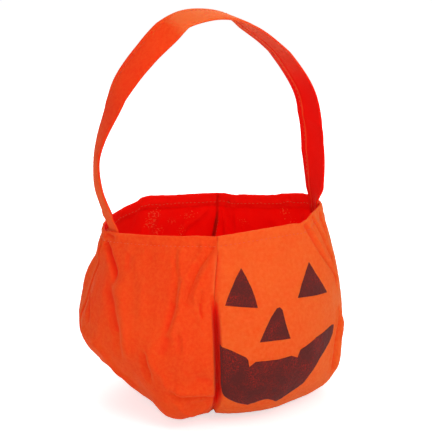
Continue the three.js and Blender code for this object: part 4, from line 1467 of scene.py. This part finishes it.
@dataclass(frozen=True)
class Studio:
    """White floor, white surround, soft lights, and the photograph's viewpoint.

    Ambient is the surround's light on the bag. The floor lies a little below the bag, and it glows by
    floor_glow where it is seen, so that it is white there and keeps its shadow.
    """

    aim: tuple[float, float, float] = (0.00425, 0.00021, 0.169)
    azimuth: float = -12.0
    elevation: float = 14.5
    distance: float = 1.1
    lens: float = 100.2
    ambient: float = 0.45
    floor_white: float = 0.86
    floor_glow: float = 0.62
    floor_height: float = -0.15
    floor_rings: tuple[float, ...] = (0.0, 400.0, 1200.0, 4000.0, 12000.0)
    floor_sides: int = 96
    lamps: tuple[Lamp, ...] = (
        Lamp("key", 30.0, 38.0, 1.5, 0.8, 0.28),
        Lamp("top", -20.0, 72.0, 1.5, 1.0, 0.18),
        Lamp("fill", -62.0, 20.0, 1.7, 1.2, 0.06),
        Lamp("low", -14.0, 0.0, 1.6, 0.7, 0.26),
        Lamp("back", 165.0, 30.0, 1.7, 1.0, 0.5),
    )

    def build(self) -> None:
        """Makes the camera, lights, floor and surround."""
        aim = Vector(self.aim)
        for lamp in self.lamps:
            lamp.build(aim)
        self.camera(aim)
        self.floor()
        self.surround()
        bpy.context.scene.view_settings.view_transform = "Standard"

    def camera(self, aim: Vector) -> None:
        """Makes the camera on the line from the aim at the photograph's azimuth and elevation."""
        back = towards(self.azimuth, self.elevation)
        data = bpy.data.cameras.new("camera")
        data.lens, data.sensor_width = self.lens, 36.0
        data.clip_start, data.clip_end = 0.05, 30.0
        eye = bpy.data.objects.new("camera", data)
        eye.location = aim + back * self.distance
        eye.rotation_mode = "QUATERNION"
        eye.rotation_quaternion = (-back).to_track_quat("-Z", "Y")
        bpy.context.scene.collection.objects.link(eye)
        bpy.context.scene.camera = eye

    def seen_directly(self, tree: bpy.types.NodeTree) -> bpy.types.NodeSocket:
        """1 where the camera looks straight, or through gloss or glass, and 0 for other light."""
        path = tree.nodes.new("ShaderNodeLightPath")
        total = path.outputs["Is Camera Ray"]
        for name in ("Is Glossy Ray", "Is Transmission Ray"):
            add = tree.nodes.new("ShaderNodeMath")
            add.operation = "MAXIMUM"
            tree.links.new(total, add.inputs[0])
            tree.links.new(path.outputs[name], add.inputs[1])
            total = add.outputs["Value"]
        return total

    def floor(self) -> None:
        """Makes a wide round white floor that keeps the bag's soft shadow."""
        turn = np.linspace(0, 2 * math.pi, self.floor_sides + 1)[:-1]
        rings = np.array(self.floor_rings)[:, None]
        x, y = rings * np.cos(turn), rings * np.sin(turn)
        grid = np.stack([x, y, np.full_like(x, self.floor_height)], -1)
        made = make_mesh("floor", grid, grid_quads(len(rings), self.floor_sides, ring=True))
        close_poles(made)
        shader = Shader("floor_white")
        shader.surface.inputs["Base Color"].default_value = (*[self.floor_white] * 3, 1.0)
        shader.surface.inputs["Roughness"].default_value = 0.9
        shader.surface.inputs["Specular IOR Level"].default_value = 0.0
        glow = shader.add("ShaderNodeMath", operation="MULTIPLY")
        shader.join(self.seen_directly(shader.tree), glow.inputs[0])
        glow.inputs[1].default_value = self.floor_glow
        shader.surface.inputs["Emission Color"].default_value = (1.0, 1.0, 1.0, 1.0)
        shader.join(glow.outputs["Value"], shader.surface.inputs["Emission Strength"])
        made.data.materials.append(shader.material)

    def surround(self) -> None:
        """Sets the world: plain white where it is seen, and a softer even light on the bag."""
        world = bpy.data.worlds.new("surround")
        world.use_nodes = True
        tree = world.node_tree
        ground = tree.nodes["Background"]
        ground.inputs["Color"].default_value = (1.0, 1.0, 1.0, 1.0)
        level = tree.nodes.new("ShaderNodeMapRange")
        level.inputs["To Min"].default_value = self.ambient
        level.inputs["To Max"].default_value = 1.0
        tree.links.new(self.seen_directly(tree), level.inputs["Value"])
        tree.links.new(level.outputs["Result"], ground.inputs["Strength"])
        bpy.context.scene.world = world


class Finish(Enum):
    """The bag's finishes."""

    FACE = FeltFinish("face_felt", (240, 90, 28), (236, 76, 20), (247, 120, 54))
    BODY = FeltFinish("orange_felt", (240, 70, 16), (233, 54, 10), (249, 100, 40))
    # The felt's inner faces: their deep red stands for the shade inside the bag and the red light that
    # bounces between its walls, painted into the colour.
    SHADED_INSIDE = FeltFinish("lining_felt", (253, 14, 3), (250, 8, 2), (255, 30, 8), linty=True,
                        sheen=0.03, soak=0.95, soak_depth=0.012)
    # The strap's inner face is the same felt: its colour stands for the light on it, and the deep red that
    # the strap's shade layer mixes in is painted shade.
    STRAP_INSIDE = FeltFinish("strap_inside_felt", (236, 68, 42), (228, 52, 28), (242, 92, 60),
                              takes_strap_shade=True)
    INK = InkFinish()
    THREAD = ThreadFinish()


def make_seams() -> dict[str, Seam]:
    """The four seams, with reaches from the bag's length and depth."""
    half_length, half_depth = 246.0 / 2, 207.0 / 2
    # The front and left seams' edges paint a highlight along a rolled edge and a line of shade beside it.
    front = Seam(
        "front", azimuth=-99, reach=half_depth, rim=0.725, rim_high=0.988, bulge=0.995, bulge_high=0.341,
        foot=0.406, full=0.55, rim_angle=-12, lobe_angle=18,
        sinks=(Sink(0.17, 0.66, 15.0, 3.3, 2.6, ease=0.16), Sink(0.58, 0.82, 3.5, 2.6, 2.2)),
        sways=((0.0, 0.6), (0.05, 0.7), (0.1, -0.6), (0.15, -1.9), (0.2, -2.6), (0.3, -1.2), (0.4, -0.1),
               (0.5, 0.6), (0.57, 0.6), (0.62, -1.0), (0.68, -3.2), (0.74, -3.4), (0.85, 0.0)),
        edges=((0.04, 0.0), (0.07, -0.55), (0.17, -0.55), (0.22, 0.0)), lift=1.2, tilt=24.0)
    right = Seam(
        "right", azimuth=0, reach=half_length, rim=0.821, rim_high=1.047, bulge=1.0, bulge_high=0.318,
        foot=0.699, full=0.62, rim_angle=2, lobe_angle=2,
        sinks=(Sink(0.03, 0.75, 1.7, 30.0, 30.0),), tilt=-20.0)
    back = Seam(
        "back", azimuth=84, reach=half_depth, rim=0.734, rim_high=1.012, bulge=1.005, bulge_high=0.341,
        foot=0.541, full=0.55, rim_angle=-10, lobe_angle=16,
        sinks=(Sink(0.2, 0.7, 4.0),),
        sways=((0.0, -13.0), (0.12, -13.0), (0.35, -6.0), (0.6, 0.0)), lift=-0.4, tilt=22.0)
    left = Seam(
        "left", azimuth=180, reach=half_length, rim=0.805, rim_high=0.941, bulge=1.0, bulge_high=0.441,
        foot=0.276, full=0.33, rim_angle=2, lobe_angle=4,
        sinks=(Sink(0.07, 0.36, 4.8, 28.0, 28.0), Sink(0.36, 0.56, -2.2, 28.0, 28.0),
               Sink(0.02, 0.62, 6.0, 3.4, 3.0), Sink(0.57, 0.8, -3.0, 5.0, 9.0)),
        edges=((0.33, 0.0), (0.4, 0.95), (0.74, 0.95), (0.8, 0.0)), tilt=-22.0)
    return {seam.name: seam for seam in (front, right, back, left)}


# The face panel: creases and rolls from the rim's right part down past the right eye, the deep fold
# beside the mouth's right corner, and small ones beside the front seam.
FACE_FOLDS = (
    Fold(Form.CREASE, 3.4, 1.3, ((0.53, 0.0), (0.545, 0.024), (0.57, 0.062), (0.598, 0.106), (0.637, 0.146),
                                 (0.69, 0.182), (0.74, 0.233), (0.765, 0.29)), 0.03, 0.2),
    Fold(Form.CREST, 1.7, 1.3, ((0.56, 0.01), (0.58, 0.04), (0.605, 0.075), (0.635, 0.112), (0.672, 0.146),
                                (0.722, 0.185), (0.765, 0.24)), 0.05, 0.2),
    Fold(Form.CREASE, 2.6, 1.3, ((0.61, 0.0), (0.637, 0.03), (0.665, 0.066), (0.7, 0.11), (0.735, 0.15),
                                 (0.79, 0.21)), 0.03, 0.2),
    Fold(Form.CREST, 1.4, 1.4, ((0.65, 0.01), (0.683, 0.067), (0.748, 0.122), (0.8, 0.19))),
    Fold(Form.CREASE, 3.0, 1.7, ((0.768, 0.005), (0.764, 0.016), (0.752, 0.059), (0.733, 0.109),
                                 (0.735, 0.152), (0.735, 0.204), (0.731, 0.263)), 0.05),
    Fold(Form.CREST, 1.0, 1.4, ((0.391, 0.237), (0.505, 0.264), (0.686, 0.303))),
    Fold(Form.CREASE, 7.5, 2.2, ((0.765, 0.32), (0.748, 0.355), (0.722, 0.395), (0.696, 0.431),
                                 (0.682, 0.472), (0.682, 0.513), (0.705, 0.56)), 0.1, 0.15),
    Fold(Form.RIDGE, 3.4, 6.0, ((0.77, 0.34), (0.745, 0.43), (0.735, 0.5), (0.75, 0.58))),
    Fold(Form.CREASE, 1.8, 2.0, ((0.004, 0.57), (0.018, 0.62), (0.046, 0.659)), 0.05),
    Fold(Form.RIDGE, 0.9, 2.0, ((0.03, 0.03), (0.03, 0.107), (0.03, 0.17))),
    Fold(Form.VALLEY, 1.6, 3.0, ((0.86, 0.02), (0.87, 0.12), (0.86, 0.25))),
)
# The left front panel: the creases beside the left seam, the fold that fans out from the rim's left end,
# those that hang from the rim's right part, and the rolls in the lower half beside the front seam.
LEFT_FOLDS = (
    Fold(Form.CREASE, 3.2, 2.0, ((0.06, 0.23), (0.12, 0.272), (0.163, 0.318), (0.2, 0.345)), 0.3, 0.35),
    Fold(Form.STEP, 3.0, 2.2, ((0.076, 0.38), (0.166, 0.4), (0.25, 0.413), (0.29, 0.45), (0.298, 0.5),
                               (0.32, 0.54), (0.365, 0.565), (0.395, 0.63)), 0.08, 0.05),
    Fold(Form.CREST, 1.2, 1.2, ((0.076, 0.377), (0.166, 0.397), (0.252, 0.41), (0.293, 0.448), (0.301, 0.498),
                                (0.323, 0.537), (0.368, 0.56), (0.4, 0.62)), 0.08, 0.05),
    Fold(Form.VALLEY, 4.6, 3.0, ((0.11, 0.03), (0.205, 0.066), (0.27, 0.1), (0.325, 0.135), (0.348, 0.165),
                                 (0.34, 0.19)), 0.05, 0.25),
    Fold(Form.STEP, 2.7, 4.2, ((0.335, 0.15), (0.345, 0.183), (0.392, 0.227), (0.425, 0.284), (0.455, 0.34),
                               (0.46, 0.393), (0.45, 0.45)), 0.2, 0.2),
    Fold(Form.STEP, 1.3, 2.0, ((0.729, 0.036), (0.733, 0.081), (0.754, 0.125), (0.772, 0.174)), 0.05, 0.1),
    Fold(Form.STEP, 2.5, 2.4, ((0.766, 0.14), (0.771, 0.214), (0.76, 0.247), (0.748, 0.279), (0.732, 0.319),
                               (0.72, 0.35))),
    Fold(Form.VALLEY, 2.4, 5.0, ((0.732, 0.319), (0.709, 0.36), (0.687, 0.411))),
    Fold(Form.CREASE, 5.6, 2.5, ((0.97, 0.033), (0.92, 0.068), (0.877, 0.101), (0.855, 0.13), (0.838, 0.16),
                                 (0.822, 0.2), (0.8, 0.25)), 0.03, 0.18),
    Fold(Form.RIDGE, 2.0, 3.6, ((0.815, 0.14), (0.79, 0.19), (0.785, 0.24))),
    Fold(Form.CREASE, 3.6, 1.9, ((0.915, 0.167), (0.909, 0.207), (0.902, 0.23), (0.908, 0.251),
                                 (0.926, 0.285))),
    Fold(Form.CREST, 2.2, 2.0, ((0.858, 0.18), (0.878, 0.217), (0.894, 0.244), (0.915, 0.308))),
    Fold(Form.STEP, 3.4, 2.3, ((0.72, 0.522), (0.76, 0.539), (0.799, 0.549), (0.855, 0.551), (0.908, 0.551),
                               (0.99, 0.565)), 0.2, 0.03),
    Fold(Form.CREST, 1.2, 1.0, ((0.74, 0.53), (0.77, 0.539), (0.799, 0.546), (0.855, 0.548), (0.908, 0.548),
                                (0.99, 0.562)), 0.2, 0.03),
    Fold(Form.CREST, 2.4, 2.6, ((0.744, 0.56), (0.798, 0.585), (0.848, 0.622), (0.895, 0.655), (0.935, 0.64),
                                (0.985, 0.625)), 0.2, 0.05),
    Fold(Form.VALLEY, 2.4, 4.0, ((0.84, 0.57), (0.9, 0.595), (0.985, 0.585)), 0.3, 0.05),
    Fold(Form.VALLEY, 2.4, 5.0, ((0.82, 0.475), (0.92, 0.49), (0.99, 0.505)), 0.4, 0.05),
    Fold(Form.CREASE, 4.0, 2.1, ((0.606, 0.375), (0.594, 0.438), (0.599, 0.479), (0.609, 0.53))),
    Fold(Form.RIDGE, 2.4, 4.0, ((0.605, 0.36), (0.635, 0.422), (0.668, 0.464), (0.72, 0.524), (0.755, 0.57))),
    Fold(Form.CREASE, 2.2, 1.6, ((0.78, 0.31), (0.788, 0.355), (0.796, 0.395))),
    Fold(Form.CREASE, 3.4, 2.0, ((0.03, 0.0), (0.105, 0.004), (0.198, 0.01), (0.268, 0.022)), 0.02),
    Fold(Form.RIDGE, 1.2, 4.0, ((0.45, 0.05), (0.493, 0.119), (0.518, 0.186))),
    Fold(Form.VALLEY, 1.2, 3.0, ((0.401, 0.06), (0.441, 0.14))),
)
# The two panels behind: soft folds that hang from the rim.
BACK_FOLDS = (
    Fold(Form.VALLEY, 2.6, 5.0, ((0.3, 0.05), (0.33, 0.2), (0.31, 0.4))),
    Fold(Form.CREASE, 2.4, 3.0, ((0.68, 0.06), (0.62, 0.22), (0.6, 0.42))),
    Fold(Form.STEP, 2.0, 4.0, ((0.86, 0.08), (0.83, 0.26), (0.86, 0.46))),
    Fold(Form.RIDGE, 1.8, 5.0, ((0.08, 0.1), (0.15, 0.28), (0.14, 0.45))),
    Fold(Form.RIDGE, 1.6, 7.0, ((0.5, 0.3), (0.46, 0.5))),
    Fold(Form.CREASE, 1.8, 1.8, ((0.03, 0.05), (0.1, 0.12), (0.16, 0.22))),
)
RIGHT_FOLDS = (
    Fold(Form.VALLEY, 2.4, 4.0, ((0.22, 0.04), (0.25, 0.2), (0.22, 0.36))),
    Fold(Form.STEP, 2.6, 5.0, ((0.5, 0.08), (0.45, 0.25), (0.47, 0.42))),
    Fold(Form.CREASE, 2.2, 3.0, ((0.74, 0.05), (0.77, 0.22), (0.73, 0.44))),
    Fold(Form.CREASE, 1.8, 1.8, ((0.12, 0.0), (0.1, 0.1), (0.13, 0.2))),
    Fold(Form.RIDGE, 1.6, 6.0, ((0.62, 0.2), (0.6, 0.42))),
    Fold(Form.CREASE, 1.6, 1.8, ((0.95, 0.06), (0.9, 0.13), (0.86, 0.24))),
)


def make_panels(seams: dict[str, Seam]) -> dict[str, Panel]:
    """The four panels with the folds and swellings that each one shows."""
    front, right, back, left = (seams[n] for n in ("front", "right", "back", "left"))
    # The shade patches paint highlights on the face and left front panels, mostly low down, and shade on the
    # left front panel's left side.
    panels = (
        Panel("face_panel", front, right, (0.42, 0.46), (0.33, 0.33), (0.206, 0.268), FACE_FOLDS,
              lumps=(Lump(0.88, 0.0, -2.0, 22.0), Lump(0.72, 0.0, -3.5, 14.0), Lump(0.742, 0.132, -1.8, 14.0),
                     Lump(0.73, 0.3, -1.2, 14.0), Lump(0.735, 0.585, 2.4, 16.0), Lump(0.5, 0.62, -1.6, 18.0)),
              rim_lifts=((0.1, 1.6), (0.25, 2.0), (0.42, 1.3), (0.5, -0.3), (0.56, 1.2), (0.6, 3.2),
                         (0.7, 4.8), (0.8, 4.8), (0.9, 2.8)),
              shade_patches=(ShadePatch(0.087, 0.624, -0.7, 14.0), ShadePatch(0.25, 0.63, -0.5, 14.0), ShadePatch(0.4, 0.62, -0.5, 12.0),
                    ShadePatch(0.5, 0.6, -0.5, 12.0), ShadePatch(0.6, 0.56, -0.4, 12.0), ShadePatch(0.3, 0.1, -0.12, 30.0)),
              seed=3, sway=0.3, gather=0.12),
        Panel("back_right_panel", right, back, (0.30, 0.20), (0.36, 0.36), (0.2, 0.268), RIGHT_FOLDS,
              rim_lifts=((0.1, 1.5), (0.2, 2.8), (0.3, 1.8), (0.38, 0.7), (0.45, -1.0), (0.55, -2.0),
                         (0.65, -2.0), (0.72, -3.0), (0.8, -2.4), (0.88, -1.3)), seed=4),
        Panel("back_left_panel", back, left, (0.42, 0.42), (0.36, 0.36), (0.2, 0.268), BACK_FOLDS,
              rim_lifts=((0.055, 0.6), (0.12, 1.4), (0.18, 2.2), (0.245, 3.6), (0.315, 5.6), (0.385, 6.8),
                         (0.42, 6.3), (0.46, 3.8), (0.55, 2.5), (0.7, 0.5), (0.85, 0.0)),
              lumps=(Lump(0.95, 0.57, 6.5, 14.0),), seed=5),
        Panel("left_front_panel", left, front, (0.16, 0.30), (0.28, 0.70), (0.2, 0.268), LEFT_FOLDS,
              lumps=(Lump(0.655, 0.36, 1.8, 12.0), Lump(0.77, 0.655, 8.0, 22.0),
                     Lump(0.379, 0.332, -1.5, 14.0), Lump(0.5, 0.615, -7.0, 22.0)),
              rim_lifts=((0.2, -0.3), (0.35, 0.0), (0.55, 0.5), (0.7, 0.95), (0.86, 1.7)),
              shade_patches=(ShadePatch(0.7, 0.507, -0.45, 22.0), ShadePatch(0.834, 0.575, -0.5, 18.0), ShadePatch(0.773, 0.64, -0.8, 18.0),
                    ShadePatch(0.6, 0.57, -0.6, 18.0), ShadePatch(0.45, 0.6, -0.45, 18.0), ShadePatch(0.2, 0.2, 0.2, 34.0)),
              seed=6),
    )
    return {panel.name: panel for panel in panels}


# Clusters of lint on the linings of the panels behind: across, down and radius.
LINT = {
    "back_left_panel": ((0.30, 0.05, 9.0), (0.33, 0.10, 9.0), (0.09, 0.08, 9.0), (0.19, 0.10, 7.0),
                        (0.12, 0.16, 9.0), (0.26, 0.14, 7.0)),
    "back_right_panel": ((0.69, 0.115, 8.0), (0.39, 0.065, 9.0), (0.52, 0.15, 6.0), (0.34, 0.12, 7.0)),
}

PRINTS = (
    FacePrint("left_eye_print",
              ((0.044, 0.23), (0.07, 0.18), (0.093, 0.141), (0.117, 0.112), (0.137, 0.14), (0.16, 0.178),
               (0.175, 0.21), (0.186, 0.243)),
              ((0.044, 0.23), (0.11, 0.236), (0.186, 0.243))),
    FacePrint("right_eye_print",
              ((0.395, 0.232), (0.427, 0.19), (0.468, 0.152), (0.5, 0.127), (0.53, 0.165), (0.57, 0.208),
               (0.61, 0.248)),
              ((0.395, 0.232), (0.495, 0.239), (0.61, 0.248))),
    FacePrint("nose_print",
              ((0.195, 0.355), (0.21, 0.33), (0.225, 0.308), (0.25, 0.278), (0.28, 0.252), (0.295, 0.25),
               (0.31, 0.26), (0.33, 0.315), (0.35, 0.358)),
              ((0.195, 0.355), (0.27, 0.355), (0.35, 0.358))),
    FacePrint("mouth_print",
              ((0.013, 0.37), (0.065, 0.382), (0.13, 0.405), (0.14, 0.415), (0.145, 0.44), (0.175, 0.422),
               (0.225, 0.422), (0.285, 0.422), (0.355, 0.418), (0.39, 0.43), (0.405, 0.405), (0.505, 0.38),
               (0.645, 0.365), (0.665, 0.37)),
              ((0.013, 0.53), (0.018, 0.547), (0.029, 0.561), (0.052, 0.573), (0.1, 0.591), (0.166, 0.606),
               (0.206, 0.591), (0.233, 0.58), (0.264, 0.578), (0.295, 0.588), (0.32, 0.6), (0.385, 0.565),
               (0.45, 0.538), (0.475, 0.507), (0.535, 0.458), (0.62, 0.42), (0.655, 0.395),
               (0.665, 0.37)),
              columns=150, rows=50),
)


def dress(made: bpy.types.Object, slot: str, *materials: bpy.types.Material) -> None:
    """Gives a piece its materials; the slot argument is not used."""
    for material in materials:
        made.data.materials.append(material)


def hem_lines(panel: Panel) -> list[tuple[Array, Array]]:
    """Rows of hem stitching outside and inside the mouth."""
    down = panel.stitch / panel.start.span
    across = np.linspace(0.012, 0.988, LINE_POINTS)
    places, normals = panel.line(across, np.full_like(across, down), 0.12)
    inside = places - (2 * FELT + CLEAR + 0.24) * normals
    return [(places, normals), (inside, -normals)]


def seam_lines(seam: Seam) -> list[tuple[Array, Array]]:
    """Rows of seam stitching on both sides of the turned-in allowances."""
    down = np.linspace(0.11, 0.86, LINE_POINTS)
    middle = seam.point(down) + seam.moved(down) - SEAM_STITCHING * seam.outward(down)
    rows = []
    for side in (1.0, -1.0):
        facing = np.repeat(side * seam.along[None], len(down), 0)
        rows.append((middle + (FELT + 0.1) * facing, facing))
    return rows


def main() -> None:
    """Builds the bag piece by piece, dresses it, and sets the studio."""
    logging.basicConfig(level=logging.INFO, format="%(name)s: %(message)s")
    materials = {finish: finish.value.material() for finish in Finish}
    seams = make_seams()
    panels = make_panels(seams)
    for name, panel in panels.items():
        outer = Finish.FACE if name == "face_panel" else Finish.BODY
        slot = "face_felt" if outer is Finish.FACE else "orange_felt"
        dress(panel.build(LINT.get(name, ())), slot, materials[outer], materials[Finish.SHADED_INSIDE])
        hem = name.replace("_panel", "_hem")
        stitches = StitchRow().build(f"{hem}_stitches", f"{hem}_thread", hem_lines(panel))
        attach(stitches, "bag")
        dress(stitches, "thread", materials[Finish.THREAD])
    for name, seam in seams.items():
        stitches = StitchRow().build(f"{name}_seam_stitches", f"{name}_seam_thread", seam_lines(seam))
        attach(stitches, "bag")
        dress(stitches, "thread", materials[Finish.THREAD])
    for shape in PRINTS:
        dress(shape.build(panels["face_panel"]), "print", materials[Finish.INK])
    strap = Strap(seams["left"], seams["right"], {
        "left_before": panels["back_left_panel"], "left_after": panels["left_front_panel"],
        "right_before": panels["face_panel"], "right_after": panels["back_right_panel"]})
    dress(strap.build(), "orange_felt", materials[Finish.BODY], materials[Finish.STRAP_INSIDE])
    edge = StitchRow().build("handle_edge_stitches", "handle_edge_thread", strap.stitch_lines())
    strap.blend(edge)
    dress(edge, "thread", materials[Finish.THREAD])
    for side in ("left", "right"):
        tack = StitchRow().build(f"handle_tack_stitches_{side}", f"handle_tack_{side}",
                                 strap.tack_lines(seams[side]))
        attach(tack, "bag")
        dress(tack, "thread", materials[Finish.THREAD])
    Studio().build()
    bpy.context.view_layer.update()


if __name__ == "__main__":
    main()
